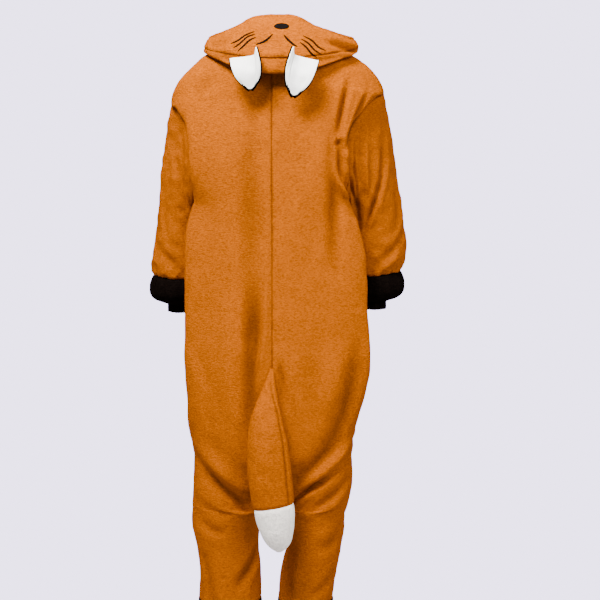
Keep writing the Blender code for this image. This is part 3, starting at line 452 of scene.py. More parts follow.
def fold(a, b, path, width, depth, start, stop):
    """How far a fold moves the cloth in at the places (a, b).

    depth * f(t) * (exp(-(d / w)^2) - 0.32 exp(-((|d| - 2 w) / w)^2)), where d is the distance from a smooth
    path, t runs from 0 to 1 along it, and f rises from start, stays at 1 and falls to stop.
    """
    path = along(np.array(path, float), np.linspace(0, len(path) - 1, 22))
    best = np.full(a.shape, 1e9)
    where = np.zeros(a.shape)
    for i, (p, q) in enumerate(zip(path, path[1:])):
        step = q - p
        t = np.clip(((a - p[0]) * step[0] + (b - p[1]) * step[1]) / (step @ step + 1e-12), 0, 1)
        away = np.hypot(a - p[0] - t * step[0], b - p[1] - t * step[1])
        closer = away < best
        best[closer] = away[closer]
        where[closer] = (i + t[closer]) / (len(path) - 1)
    fade = 1 - (1 - start) * (1 - smooth(where / 0.4)) - (1 - stop) * (1 - smooth((1 - where) / 0.4))
    shape = np.exp(-((best / width) ** 2)) - 0.32 * np.exp(-(((best - 2 * width) / width) ** 2))
    return depth * fade * shape


def ripple(points, size, seed, waves=26, stretch=(1, 1, 1)):
    """Soft unevenness, a sum of sines of position: sum(sin(k . p + phase)) / sqrt(waves / 2)."""
    rng = np.random.default_rng(seed)
    directions = unit(rng.normal(size=(waves, 3))) * rng.uniform(0.6, 1.6, (waves, 1))
    phases = rng.uniform(0, 2 * math.pi, waves)
    k = directions * 2 * math.pi / size * np.array(stretch)
    total = np.zeros(points.shape[:-1])
    for direction, phase in zip(k, phases):
        total += np.sin(points @ direction + phase)
    return total / math.sqrt(waves / 2)


# ---------------------------------------------------------------- the cut, as in the solids


def section(t, middle, edge, corner, inner, under):
    """One row of a panel from its middle edge (t = 0) to its side edge (t = 1).

    x = inner + (edge - inner) sin(t pi/2)^0.8 + corner sin(pi t^2)^2 and y falls as cos(t pi/2)^0.8 on the
    trunk; on a leg the row is half an ellipse. under, from 0 to 1, turns the first into the second.
    """
    angle = t * math.pi / 2
    trunk_x = np.sin(angle) ** SQUARENESS
    trunk_y = np.cos(angle) ** SQUARENESS
    leg_x = (1 - np.cos(2 * angle)) / 2
    leg_y = np.maximum(np.sin(2 * angle), 0) ** 0.9
    bulge = np.sin(math.pi * t**2) ** 2
    x = inner + (edge[0] - inner) * ((1 - under) * trunk_x + under * leg_x) + corner * bulge
    trunk = edge[1] + (middle[1] - edge[1]) * trunk_y
    y = (1 - under) * trunk + under * middle[1] * leg_y
    z = middle[2] + (edge[2] - middle[2]) * trunk_x**2
    return stack(x, y, z)


def shoulder_edge(side, row):
    """The shoulder seam's point in a row: a slope that rounds down over the arm."""
    end_x, end_z = SLEEVES[side]["outer_x"][0], SLEEVES[side]["outer_z"][0]
    angle = row / SHOULDER_ROWS * math.pi / 2
    drop = 0.4 * math.sin(angle) + 0.6 * (1 - math.cos(angle))
    x = NECK_RADIUS + (end_x - NECK_RADIUS) * math.sin(angle)
    return np.array([x, 0.0, SHOULDER_NECK_Z + (end_z - SHOULDER_NECK_Z) * drop])


def armhole_ring(side):
    """Points of the armhole from the shoulder round the back to the armpit and up the front."""
    rows = SLEEVES[side]
    top, bottom = rows["outer_z"][0], rows["inner_z"][0]
    seam_x, swing, power = ARMHOLE[side]
    angle = np.arange(2 * ARMHOLE_ROWS) * math.pi / ARMHOLE_ROWS
    down = (1 - np.cos(angle)) / 2
    x = seam_x + swing * (1 - down) ** power + (rows["inner_x"][0] - seam_x) * down**3
    y = ARMHOLE_HALF_DEPTH * np.sin(angle)
    y[[0, ARMHOLE_ROWS]] = 0
    return stack(x, y, top + (bottom - top) * down)


def body_rows(side, face):
    """The rows of one panel, from the neck to the end of the leg."""
    sign = 1 if face == "back" else -1
    columns = BACK_COLUMNS if face == "back" else FRONT_COLUMNS
    t = np.linspace(0, 1, columns + 1)
    rows = []
    ring = armhole_ring(side)
    neck = NECK_TO_ARMPIT
    for i in range(ARMPIT_ROW + 1):
        middle = (0, sign * neck[face][i], neck["z_" + face][i])
        k = i - SHOULDER_ROWS
        edge = shoulder_edge(side, i) if k < 0 else ring[k] * (1, sign, 1)
        corner = neck["corner"][i] if face == "back" else 0
        rows.append(section(t, middle, edge, corner, 0, 0))
    name = WORDS[side]
    for i in range(1, len(TRUNK["z"])):
        z = TRUNK["z"][i]
        reach = np.clip((z - CROTCH_Z) / SEAT_RISE, 0, 1)
        turned = 1 - (1 - (1 - reach) ** SEAT_ROUND) ** (1 / SEAT_ROUND)
        eased = (1 - reach) ** 2 * (1 + 2 * reach)
        under = turned + (eased - turned) * t**0.6
        corner = TRUNK[name + "_corner"][i] * (1 if face == "back" else 0)
        middle, edge = (0, sign * TRUNK[face][i], z), (TRUNK[name][i], 0, z)
        rows.append(section(t, middle, edge, corner, 0, under))
    for i in range(1, len(LEGS["z"])):
        z = LEGS["z"][i]
        middle, edge = (0, sign * LEGS[face][i], z), (LEGS[name][i], 0, z)
        rows.append(section(t, middle, edge, 0, LEGS[name + "_inner"][i], 1))
    return np.array(rows)


def sleeve_rings(side):
    """Rings of the sleeve from the armhole to the band, and the swing of the armhole fading out of them."""
    rows = SLEEVES[side]
    ring = armhole_ring(side)
    angle = np.arange(2 * ARMHOLE_ROWS) * math.pi / ARMHOLE_ROWS
    down = (1 - np.cos(angle)) / 2
    flat = rows["outer_x"][0] + (rows["inner_x"][0] - rows["outer_x"][0]) * down
    swing = ring[:, 0] - flat
    rings = [ring]
    for i in range(1, SLEEVE_ROWS + 1):
        x = rows["outer_x"][i] + (rows["inner_x"][i] - rows["outer_x"][i]) * down
        z = rows["outer_z"][i] + (rows["inner_z"][i] - rows["outer_z"][i]) * down
        y = rows["y"][i] + rows["half_depth"][i] * np.sin(angle)
        fade = max(0.0, 1 - i / 4.5) ** 1.5
        rings.append(stack(x + swing * fade, y, z))
    return np.array(rings)


def curve(a, b, c, d, count, ends):
    """Points of a cubic curve with the two ends a and d and the handles b and c."""
    v = (np.arange(count + (1 if ends else 0)) / count)[:, None, None]
    return (1 - v) ** 3 * a + 3 * (1 - v) ** 2 * v * b + 3 * (1 - v) * v**2 * c + v**3 * d


def hood_grid(side, turn, neck, neck_out):
    """Sections of the thrown-back hood, one for each point of the neckline from back to front.

    Each section is two cubic curves that meet at the fold: the under side from the neckline down to the
    fold, and the upper side from the fold up to the rim.
    """
    rows = HOOD[side]
    fold_line = stack(*(between(rows["turn"], rows["fold_" + axis], turn) for axis in "xyz"))
    rim = stack(*(between(rows["turn"], rows["rim_" + axis], turn) for axis in "xyz"))
    wide = between(rows["turn"], rows["round"], turn)[:, None]
    sag = between(rows["turn"], rows["sag"], turn)[:, None]
    out = unit(stack(fold_line[:, 0] * 0.7, fold_line[:, 1], np.zeros(len(turn))))
    out[0] = (0, 1, 0)
    start = neck + neck_out * 0.0006
    lift = unit(neck_out + (0, 0, 0.6)) * 0.012 + (fold_line - start) * 0.33
    under = curve(start, start + lift, fold_line - out * wide * 0.5, fold_line, UNDER_STEPS, False)
    over = curve(fold_line, fold_line + out * wide, rim + out * sag, rim, OVER_STEPS, True)
    return np.concatenate([under, over])


# ---------------------------------------------------------------- the cloth, worked out once


def row_places():
    """Fractional row numbers, closer together where the panels' rows are long."""
    lengths = np.linalg.norm(np.diff(body_rows(LEFT, "back")[:, 3], axis=0), axis=-1)
    counts = np.maximum(2, np.ceil(lengths / ROW_STEP)).astype(int)
    places = [np.arange(n) / n + i for i, n in enumerate(counts)]
    return np.concatenate([*places, [LAST_ROW]])


ROWS = row_places()
COLUMNS = {"back": spread(62, BACK_COLUMNS), "front": spread(46, FRONT_COLUMNS)}
ARM_ROWS = np.flatnonzero((ROWS >= SHOULDER_ROWS) & (ROWS <= ARMPIT_ROW))


def panel_normals(grid, other, sleeve_step, sign):
    """Outward directions of a panel, the same at its seams as those of the panel opposite."""
    crotch = np.searchsorted(ROWS, CROTCH_ROW)
    before = grid[:, 1] * (-1, 1, 1)
    before[crotch + 1 :] = other[crotch + 1 :, 1]
    after = other[:, -2].copy()
    after[ARM_ROWS[1:-1]] = sleeve_step[1:-1]
    wide = np.concatenate([before[:, None], grid, after[:, None]], axis=1)
    normals = unit(np.cross(wide[:, 2:] - wide[:, :-2], steps(grid))) * sign
    normals[: crotch + 1, 0, 0] = 0
    normals[crotch, 0] = (0, 0, -1)
    return unit(normals)


def placed(face_grid, girth, x, z):
    """Where a point (x, z) of a panel lies in the cloth: distance from its centre seam, and height."""
    away = np.hypot(face_grid[..., 0] - x, face_grid[..., 2] - z)
    row, column = np.unravel_index(np.argmin(away), away.shape)
    return girth[row, column], z


def eased(grid, reach=11):
    """The panel without the ledge at the armpit, where its side edge changes from the armhole to the seam.

    Each point goes to the bell-weighted mean of its column over reach rows each way, a share w of the way:
    w is 1 at the armpit and falls to 0 at 3 reach rows from it and at the side edge.
    """
    middle = ARM_ROWS[-1]
    first, count = middle - 3 * reach, 6 * reach + 1
    bell = np.hanning(2 * reach + 3)[1:-1]
    start = first - reach
    mean = sum(w * grid[start + k : start + k + count] for k, w in enumerate(bell / bell.sum()))
    part = grid[first : first + count]
    run = run_along(part)
    t = np.abs(np.linspace(-1, 1, count))[:, None]
    weight = smooth((1 - t) / 0.7) * smooth((run[:, -1:] - run) / 0.009)
    moved = grid.copy()
    moved[first : first + count] += weight[..., None] * (mean - part) * (1, 1, 0)
    return moved


def seam_groove(distance, depth=0.0013, width=0.0032):
    return depth * np.exp(-((distance / width) ** 2))


def pulled(grid, field, out):
    return grid - out * field[..., None]


def build_side(side):
    """The back, the front and the sleeve of one side, with their folds.

    A fold goes on round the side seam below the armpit, and fades beside the armpit itself.
    """
    grids = {face: eased(refined(body_rows(side, face), ROWS, COLUMNS[face])) for face in ("back", "front")}
    painted_shades = {}
    rings = sleeve_rings(side)
    arm = ROWS[ARM_ROWS] - SHOULDER_ROWS
    next_ring = {
        "back": along(rings[1], arm, closed=True),
        "front": along(rings[1], 2 * ARMHOLE_ROWS - arm, closed=True),
    }
    normals = {
        "back": panel_normals(grids["back"], grids["front"], next_ring["back"], 1),
        "front": panel_normals(grids["front"], grids["back"], next_ring["front"], -1),
    }
    for face in grids:
        normals[face][ARM_ROWS[0], -1] = unit(np.array([0.35, 0, 1.0]))
        normals[face][ARM_ROWS[-1], -1] = (0, 0, -1)
    back_run, front_run = run_along(grids["back"]), run_along(grids["front"])
    girth = back_run[:, -1:] + front_run[:, -1:]
    edge = {"back": back_run[:, -1:] - back_run, "front": front_run[:, -1:] - front_run}
    inner = {"back": back_run, "front": front_run}
    folds = {
        face: [
            ([placed(grids[face], inner[face], x, z) for x, z in path], *shape)
            for path, *shape in BODY_FOLDS[face, side]
        ]
        for face in grids
    }
    from_armpit = (np.arange(len(ROWS)) - ARM_ROWS[-1])[:, None]
    near = smooth(1 - np.abs(from_armpit) / 8)
    for face, other in (("back", "front"), ("front", "back")):
        world, height = grids[face] * (side, 1, 1), grids[face][..., 2]
        own = sum(fold(inner[face], height, *each) for each in folds[face])
        round_side = sum(fold(girth - inner[face], height, *each) for each in folds[other])
        field = own * (1 - near * np.exp(-((edge[face] / 0.015) ** 2)))
        field += round_side * (1 - near) * (from_armpit > 0)
        field = field * smooth(inner[face] / 0.014)
        field += 0.0013 * ripple(world, 0.13, 3, stretch=(1, 1, 0.5))
        field += 0.0004 * ripple(world, 0.045, 5, stretch=(1, 1, 0.6))
        # painted shade: the colour darkens with the folds' depth
        painted_shades[face] = field / HOLLOW
        for distance, share in ((inner[face], 0.45), (edge[face], 1.25)):
            field += seam_groove(distance, 0.0018)
            field += ripple(world, 0.03, 7) * 0.0005 * np.exp(-((distance / 0.016) ** 2))
            # painted shade along the centre and side seams
            painted_shades[face] += share * SEAM_PAINTED_SHADE * np.exp(-((distance / 0.0024) ** 2))
        grids[face] = pulled(grids[face], field, normals[face])
    return grids, *build_sleeve(side, rings, grids), painted_shades


def build_sleeve(side, rings, grids):
    """The sleeve's grid, its first ring sewn to the panels' edges."""
    arm = ROWS[ARM_ROWS] - SHOULDER_ROWS
    angles = np.concatenate([arm, (2 * ARMHOLE_ROWS - arm)[-2:0:-1]])
    down = np.concatenate([np.linspace(0, 1, 12, endpoint=False), np.linspace(1, SLEEVE_ROWS, 84)])
    grid = refined(rings, down, angles, closed=True)
    out = -normals_of(grid, closed=True)
    length = run_along(grid.swapaxes(0, 1)).swapaxes(0, 1)
    ring_run = run_along(np.concatenate([grid, grid[:, :1]], axis=1))
    girth = ring_run[:, :-1]
    total = ring_run[:, -1:]
    field = np.zeros(girth.shape)
    for path, face, *shape in SLEEVE_FOLDS[side]:
        places = []
        for x, z in path:
            away = np.hypot(grid[..., 0] - x, grid[..., 2] - z) + np.where(out[..., 1] * face > 0, 0, 1)
            row, column = np.unravel_index(np.argmin(away), away.shape)
            places.append((girth[row, column], length[row, column]))
        field += fold(girth, length, places, *shape)
    seam = np.minimum(girth, total - girth)
    field = field * smooth(seam / 0.02)
    world = grid * (side, 1, 1)
    field += 0.0011 * ripple(world, 0.11, 3, stretch=(1, 1, 0.6))
    field += 0.0007 * ripple(world, 0.040, 5)
    # painted shade: the colour darkens with the folds' depth
    painted_shade = field / HOLLOW
    from_end = length[-1:] - length
    gather = ripple(world, 0.022, 11) * 0.0012 * np.exp(-((from_end / 0.020) ** 2))
    field += gather + seam_groove(from_end, 0.0020, 0.0045)
    grid = pulled(grid, field, out)
    back, front = grids["back"][ARM_ROWS, -1], grids["front"][ARM_ROWS, -1]
    sewn = np.concatenate([back, front[-2:0:-1]])
    grid += (sewn - grid[0]) * (1 - smooth(length / 0.030))[..., None]
    # painted shade along the armhole seam as well
    return grid, painted_shade + 1.3 * SEAM_PAINTED_SHADE * np.exp(-((length / 0.0034) ** 2))


def band_grid(last, shape, height, rows_down, ribs, seed):
    """Rings below the end of a sleeve or leg, wider or narrower as the table says, gathered at both seams."""
    centre = last.mean(axis=0)
    down = np.linspace(0, 1, rows_down + 1)[:, None, None]
    wide = between(shape["down"], shape["wide"], down)
    deep = between(shape["down"], shape["deep"], down)
    away = (last - centre) * np.concatenate([wide, deep, 1 - down], axis=-1)
    grid = centre + away + np.array([0, 0, -1]) * height * down
    angle = np.arctan2(away[..., 1], away[..., 0])
    out = unit(away * (1, 1, 0))
    rng = np.random.default_rng(seed)
    gather = sum(np.sin(angle * k + rng.uniform(0, 6.3)) / 3 for k in ribs)
    near = np.exp(-((down[..., 0] / 0.22) ** 2)) * 0.3 + np.exp(-(((1 - down[..., 0]) / 0.35) ** 2))
    amount = gather * near * 0.0022 - seam_groove(down[..., 0] * height, 0.0018, 0.003)
    return grid + out * amount[..., None]


CLOTH = {side: build_side(side) for side in (LEFT, RIGHT)}


def build_hood():
    """The whole hood as one grid, neckline to rim, from the right front round to the left front."""
    halves = []
    for side in (RIGHT, LEFT):
        grids = CLOTH[side][0]
        neck = np.concatenate([grids["back"][0], grids["front"][0, -2::-1]])
        neck[0, 0], neck[-1, 0] = 0, 0.004
        place = np.concatenate([COLUMNS["back"], HALF_ROUND - COLUMNS["front"][-2::-1]])
        turn = place * 180 / HALF_ROUND
        neck_out = unit(neck * (1, 1, 0) * 0.3 + (0, 0, 1) * np.abs(neck[:, :1]) * 0.6 + neck * (0, 0.8, 0))
        neck_out[0] = unit(np.array([0, 0.9, 0.45]))
        halves.append(hood_grid(side, turn, neck, neck_out))
    right = (halves[0] * (-1, 1, 1))[:, :0:-1]
    grid = np.concatenate([right, halves[1]], axis=1)
    out = -normals_of(grid)
    behind = smooth((grid[..., 1] - 0.01) / 0.04) * smooth((out[..., 1] + 0.1) / 0.4)
    behind = behind * (np.arange(len(grid)) >= UNDER_STEPS)[:, None]
    field = sum(fold(grid[..., 0], grid[..., 2], *each) for each in HOOD_FOLDS) * behind
    # painted shade: the colour darkens with the folds' depth
    painted_shade = field / HOLLOW
    rows = np.arange(len(grid))[:, None]
    free = smooth((rows - UNDER_STEPS) / 14)
    length = run_along(grid.swapaxes(0, 1)).swapaxes(0, 1)
    from_rim = length[-1:] - length
    free = free * smooth(from_rim / 0.03)
    field += free * (0.0009 * ripple(grid, 0.085, 21) + 0.0004 * ripple(grid, 0.030, 23))
    field += seam_groove(from_rim - HEM, 0.0016, 0.0022)
    field -= 0.0008 * smooth((HEM - from_rim) / 0.003)
    field += 0.0005 * ripple(grid, 0.018, 25) * np.exp(-(((from_rim - HEM) / 0.010) ** 2))
    field += seam_groove(length - length[HOOD_SEAM], 0.0020, 0.0026)
    # painted shade along the ears' seam and the hem's stitching
    painted_shade += SEAM_PAINTED_SHADE * np.exp(-(((length - length[HOOD_SEAM]) / 0.0020) ** 2))
    painted_shade += 0.5 * SEAM_PAINTED_SHADE * np.exp(-(((from_rim - HEM) / 0.0020) ** 2))
    middle = np.abs(grid[..., 0]) + np.where(grid[..., 1] > 0, 0, 1)
    field += seam_groove(middle, 0.0009, 0.0026) * (rows < HOOD_SEAM)
    return pulled(grid, field, out), painted_shade


# the hood's cloth and its painted shade
HOOD_CLOTH, HOOD_PAINTED_SHADE = build_hood()


def over_hood(x, z):
    """The hood's outer surface behind a place (x, z): the point and the direction out of the cloth."""
    grid = HOOD_CLOTH[UNDER_STEPS:]
    out = -normals_of(HOOD_CLOTH)[UNDER_STEPS:]
    facing = (out[..., 1] > 0.15) & (grid[..., 1] > 0)
    points, normals = grid[facing], out[facing]
    found, directions = [], []
    for a, b in zip(np.ravel(x), np.ravel(z)):
        away = (points[:, 0] - a) ** 2 + (points[:, 2] - b) ** 2
        near = np.argsort(away)[:6]
        weight = 1 / (away[near] + 1e-7)
        weight /= weight.sum()
        p, n = points[near], normals[near]
        y = p[:, 1] - (n[:, 0] * (a - p[:, 0]) + n[:, 2] * (b - p[:, 2])) / n[:, 1]
        found.append((a, (y * weight).sum(), b))
        directions.append((n * weight[:, None]).sum(axis=0))
    shape = np.shape(x) + (3,)
    return np.array(found).reshape(shape), unit(np.array(directions)).reshape(shape)


# ---------------------------------------------------------------- meshes


def grid_faces(rows, columns, closed, base=0):
    """Quads of a grid of vertices, row by row; a closed grid joins its last column to its first."""
    r, c = np.meshgrid(np.arange(rows - 1), np.arange(columns if closed else columns - 1), indexing="ij")
    d = (c + 1) % columns
    here, below = r * columns, (r + 1) * columns
    quads = np.stack([here + c, here + d, below + d, below + c], axis=-1)
    return quads.reshape(-1, 4) + base


def mesh_object(name, points, faces, material, painted_shade=None):
    """An object with its place in its mesh; hollow is how deep each point lies in a fold, from 0 to 1."""
    mesh = bpy.data.meshes.new(name)
    mesh.from_pydata(points.reshape(-1, 3).tolist(), [], [list(face) for face in faces])
    depth = mesh.attributes.new("painted_shade", "FLOAT", "POINT")
    if painted_shade is not None:
        depth.data.foreach_set("value", np.clip(painted_shade, -1, 1).astype(np.float32).ravel())
    mesh.materials.append(material)
    mesh.shade_smooth()
    made = bpy.data.objects.new(name, mesh)
    bpy.context.scene.collection.objects.link(made)
    return made


def outward(grid, closed, hint):
    """The grid's quads, turned so that they face the way that hint points at the grid's middle."""
    faces = grid_faces(*grid.shape[:2], closed)
    r, c = grid.shape[0] // 2, grid.shape[1] // 4
    normal = np.cross(grid[r, c + 1] - grid[r, c], grid[r + 1, c] - grid[r, c])
    return faces if normal @ hint(grid[r, c]) > 0 else faces[:, ::-1]


def add_cloth(name, grid, material, hint, closed=False, painted_shade=None):
    """A panel with a wall: the grid is its outer side, and Solidify adds the inner side and the edges."""
    made = mesh_object(name, grid, outward(grid, closed, hint), material, painted_shade)
    thick = made.modifiers.new("Wall", "SOLIDIFY")
    thick.thickness = WALL
    thick.offset = -1
    thick.use_quality_normals = True
    return made


def add_closed(name, rings, material, hint, painted_shade=None):
    """A closed form from rings: quads between them and a fan at each end."""
    rows, columns = rings.shape[:2]
    faces = outward(rings, True, hint)
    first = np.concatenate([rings.reshape(-1, 3), rings[:1].mean(axis=1), rings[-1:].mean(axis=1)])
    k = np.arange(columns)
    n = (k + 1) % columns
    top = np.stack([np.full(columns, rows * columns), k, n], axis=-1)
    low = (rows - 1) * columns
    bottom = np.stack([np.full(columns, rows * columns + 1), low + n, low + k], axis=-1)
    if faces[0, 0] == 0:
        top, bottom = top[:, ::-1], bottom[:, ::-1]
    every = faces.tolist() + top.tolist() + bottom.tolist()
    if painted_shade is not None:
        painted_shade = np.concatenate([painted_shade.ravel(), (0, 0)])
    return mesh_object(name, first, every, material, painted_shade)


def join_parts(name, parts, material):
    """One object from several (points, faces) arrays."""
    points, faces, base = [], [], 0
    for each, quads in parts:
        points.append(each.reshape(-1, 3))
        faces += (np.asarray(quads) + base).tolist()
        base += len(points[-1])
    return mesh_object(name, np.concatenate(points), faces, material)


def show(piece, slot, *nodes):
    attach(piece, "root")
    if nodes:
        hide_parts(*nodes)
    return piece


# ---------------------------------------------------------------- materials


def new_material(name):
    made = bpy.data.materials.new(name)
    made.use_nodes = True
    return made, made.node_tree.nodes, made.node_tree.links, made.node_tree.nodes["Principled BSDF"]


def noise(nodes, links, place, scale, detail, roughness=0.55, distortion=0.0):
    """A noise texture on Object coordinates; scale is repeats a metre along x, y and z."""
    mapping = nodes.new("ShaderNodeMapping")
    mapping.inputs["Scale"].default_value = scale
    links.new(place.outputs["Object"], mapping.inputs["Vector"])
    texture = nodes.new("ShaderNodeTexNoise")
    texture.inputs["Scale"].default_value = 1
    texture.inputs["Detail"].default_value = detail
    texture.inputs["Roughness"].default_value = roughness
    texture.inputs["Distortion"].default_value = distortion
    links.new(mapping.outputs["Vector"], texture.inputs["Vector"])
    return texture


def tinted(nodes, links, texture, colour, low, high, span=(0.35, 0.65)):
    """A ramp from the colour times low to the colour times high, over the middle of a noise."""
    ramp = nodes.new("ShaderNodeValToRGB")
    ramp.color_ramp.elements[0].position, ramp.color_ramp.elements[1].position = span
    for element, factor in zip(ramp.color_ramp.elements, (low, high)):
        element.color = (*[min(1.0, c * factor) for c in colour], 1)
    links.new(texture.outputs["Fac"], ramp.inputs["Fac"])
    return ramp


def fleece(name, colour, nap, grain=(185, 185, 430), low=0.68, high=1.22, sheen=0.0, patch=0.07):
    """Short crinkled pile: an uneven nap in the colour and the bump, darker in the folds' bottoms."""
    made, nodes, links, shader = new_material(name)
    place = nodes.new("ShaderNodeTexCoord")
    pile = noise(nodes, links, place, grain, 3.5, 0.60, 0.7)
    ramp = tinted(nodes, links, pile, colour, low, high)
    broad = noise(nodes, links, place, (16, 16, 11), 3)
    shade = tinted(nodes, links, broad, (1, 1, 1), 1 - patch, 1.0, (0.3, 0.7))
    mix = nodes.new("ShaderNodeMix")
    mix.data_type, mix.blend_type = "RGBA", "MULTIPLY"
    mix.inputs["Factor"].default_value = 1
    links.new(ramp.outputs["Color"], mix.inputs["A"])
    links.new(shade.outputs["Color"], mix.inputs["B"])
    # painted shade: the colour darkens by the fold and seam depth stored on each point
    depth = nodes.new("ShaderNodeAttribute")
    depth.attribute_name = "painted_shade"
    painted_shade_ramp = tinted(nodes, links, depth, (1, 1, 1), 1.0, DARKEST, (0.05, 1.0))
    both = nodes.new("ShaderNodeMix")
    both.data_type, both.blend_type = "RGBA", "MULTIPLY"
    both.inputs["Factor"].default_value = 1
    links.new(mix.outputs["Result"], both.inputs["A"])
    links.new(painted_shade_ramp.outputs["Color"], both.inputs["B"])
    links.new(both.outputs["Result"], shader.inputs["Base Color"])
    fine = noise(nodes, links, place, tuple(2.6 * g for g in grain), 2)
    height = nodes.new("ShaderNodeMath")
    height.operation = "MULTIPLY_ADD"
    height.inputs[1].default_value = 0.35
    links.new(fine.outputs["Fac"], height.inputs[0])
    links.new(pile.outputs["Fac"], height.inputs[2])
    bump = nodes.new("ShaderNodeBump")
    bump.inputs["Strength"].default_value = 1.0
    bump.inputs["Distance"].default_value = nap
    links.new(height.outputs["Value"], bump.inputs["Height"])
    links.new(bump.outputs["Normal"], shader.inputs["Normal"])
    shader.inputs["Roughness"].default_value = 0.95
    shader.inputs["Specular IOR Level"].default_value = 0.0
    shader.inputs["Sheen Weight"].default_value = sheen
    shader.inputs["Sheen Roughness"].default_value = 0.5
    shader.inputs["Sheen Tint"].default_value = (*colour, 1)
    return made


def plain(name, colour, roughness, coat=0.0):
    made, _, _, shader = new_material(name)
    shader.inputs["Base Color"].default_value = (*colour, 1)
    shader.inputs["Roughness"].default_value = roughness
    shader.inputs["Specular IOR Level"].default_value = 0.02 + 0.5 * coat
    shader.inputs["Coat Weight"].default_value = coat
    return made


def cloth_material(kind, context):
    """The shared material of one kind of cloth, made on first use."""
    found = bpy.data.materials.get("fox_" + kind)
    if found:
        return found
    settings = context.scene.fox_onesie
    if kind == "orange":
        return fleece("fox_orange", tuple(settings.orange), settings.nap)
    if kind == "black":
        return fleece("fox_black", tuple(settings.black), settings.nap, low=0.6, high=1.5, sheen=0.04)
    if kind == "white":
        return fleece("fox_white", tuple(settings.white), 0.0010, (300, 300, 300), 0.96, 1.03, 0.1, 0.02)
    return fleece("fox_tip", tuple(settings.tip), 0.0018, (170, 170, 130), 0.84, 1.10, 0.15, 0.04)


# ---------------------------------------------------------------- pieces


def tail_rings(first, last, count, sides):
    """Rings of the stuffed tail between two rows of its table, with its side seams and a little unevenness.

    The tip's seam slants: z rises by slant(angle) exp(-(d / 0.05)^2), d being the height from the seam.
    """
    rows = np.linspace(first, last, count)
    names = ("z", "x", "half_width", "half_depth", "y")
    z, x, wide, deep, y = along(stack(*(TAIL[name] for name in names)), rows).T
    angle = np.arange(sides) * 2 * math.pi / sides
    grid = stack(
        x[:, None] + wide[:, None] * np.cos(angle),
        y[:, None] + deep[:, None] * np.sin(angle),
        z[:, None] + 0 * angle,
    )
    out = unit(stack(np.cos(angle) * deep[:, None], np.sin(angle) * wide[:, None], 0 * wide[:, None]))
    from_tip = grid[..., 2] - TAIL["z"][TAIL_SEAM_ROW]
    grid[..., 2] += (0.016 - 0.008 * np.cos(angle)) * np.exp(-((from_tip / 0.05) ** 2))
    length = TAIL["z"][0] - z[:, None]
    fat = np.minimum(1, wide / 0.03)[:, None]
    field = fat * (0.0012 * ripple(grid, 0.12, 41, stretch=(1, 1, 0.4)) + 0.0003 * ripple(grid, 0.040, 43))
    share = TAIL_SEAM * smooth(length / 0.10)
    on_back = np.where(np.sin(angle) > 0.2, 0, 1)[None, :]
    from_seam = grid[..., 0] - x[:, None] + share * wide[:, None] + on_back
    seamed = fat * smooth(from_tip / 0.006)
    field += seamed * seam_groove(from_seam, 0.0020, 0.0036)
    field += fat * seam_groove(np.abs(angle - math.pi) * wide[:, None], 0.0012, 0.003)
    ends = seam_groove(from_tip, 0.0022, 0.0045)
    grid = pulled(grid, field + ends, out)
    # painted shade along the long seam's groove
    return grid, 0.9 * seamed * np.exp(-((from_seam / 0.0026) ** 2))


def ear_grid(ear, rows, columns):
    """A leaf folded along its length: its section is an arc, tighter on the inner side and near the base.

    x = w sin(c u) / c and lift = w (1 - cos(c u)) / c for u from -1 to 1, w narrowing towards the tip.
    """
    down = unit(np.array(ear["lean"]))
    across = unit(np.cross(down, (0, 1, 0)))
    across = across * np.sign(across[0])
    out = unit(np.cross(across, down))
    out = out * np.sign(out[1])
    v = np.linspace(0, 1, rows + 1)[:, None]
    u = np.linspace(-1, 1, columns + 1)[None, :]
    width = ear["half"] * (1 - 0.12 * v - 0.62 * v**3) * np.sqrt(1 - 0.97 * v**9)
    turned = smooth((u * ear["inner"] + 0.25) / 0.5)
    curl = (0.3 * (1 - v) + 0.15) * (1 - turned) + (1.3 * (1 - v) + 0.3) * turned
    x = width * np.sin(curl * u) / curl
    lift = width * (1 - np.cos(curl * u)) / curl
    flap = 0.0135 * smooth((u * ear["inner"] - 0.52) / 0.45) * (1 - v) ** 2.5
    z = ear["long"] * v - flap
    seam = HOOD_CLOTH[HOOD_SEAM]
    behind = seam[seam[:, 1] > 0.06]
    order = np.argsort(behind[:, 0])
    y, z_seam = (np.interp(ear["x"], behind[order, 0], behind[order, axis]) for axis in (1, 2))
    place = np.array([ear["x"], y + EAR_CLEAR, z_seam])
    sag = 0.010 * np.sin(math.pi * v)
    rim = np.minimum(1 - np.abs(u), 1 - v) * ear["half"]
    soft = 0.0022 * smooth(rim / 0.010) + 0.0006 * ripple(stack(x, lift, z), 0.03, 51)
    # a crease along the inner flap: a dent in the cloth, and painted shade along it for the colour
    crease_and_shade = np.exp(-(((u * ear["inner"] - 0.60) / 0.045) ** 2)) * smooth((0.75 - v) / 0.3)
    lift = lift + sag + soft - 0.0015 * crease_and_shade
    return place + across * x[..., None] + down * z[..., None] + out * lift[..., None], 0.7 * crease_and_shade


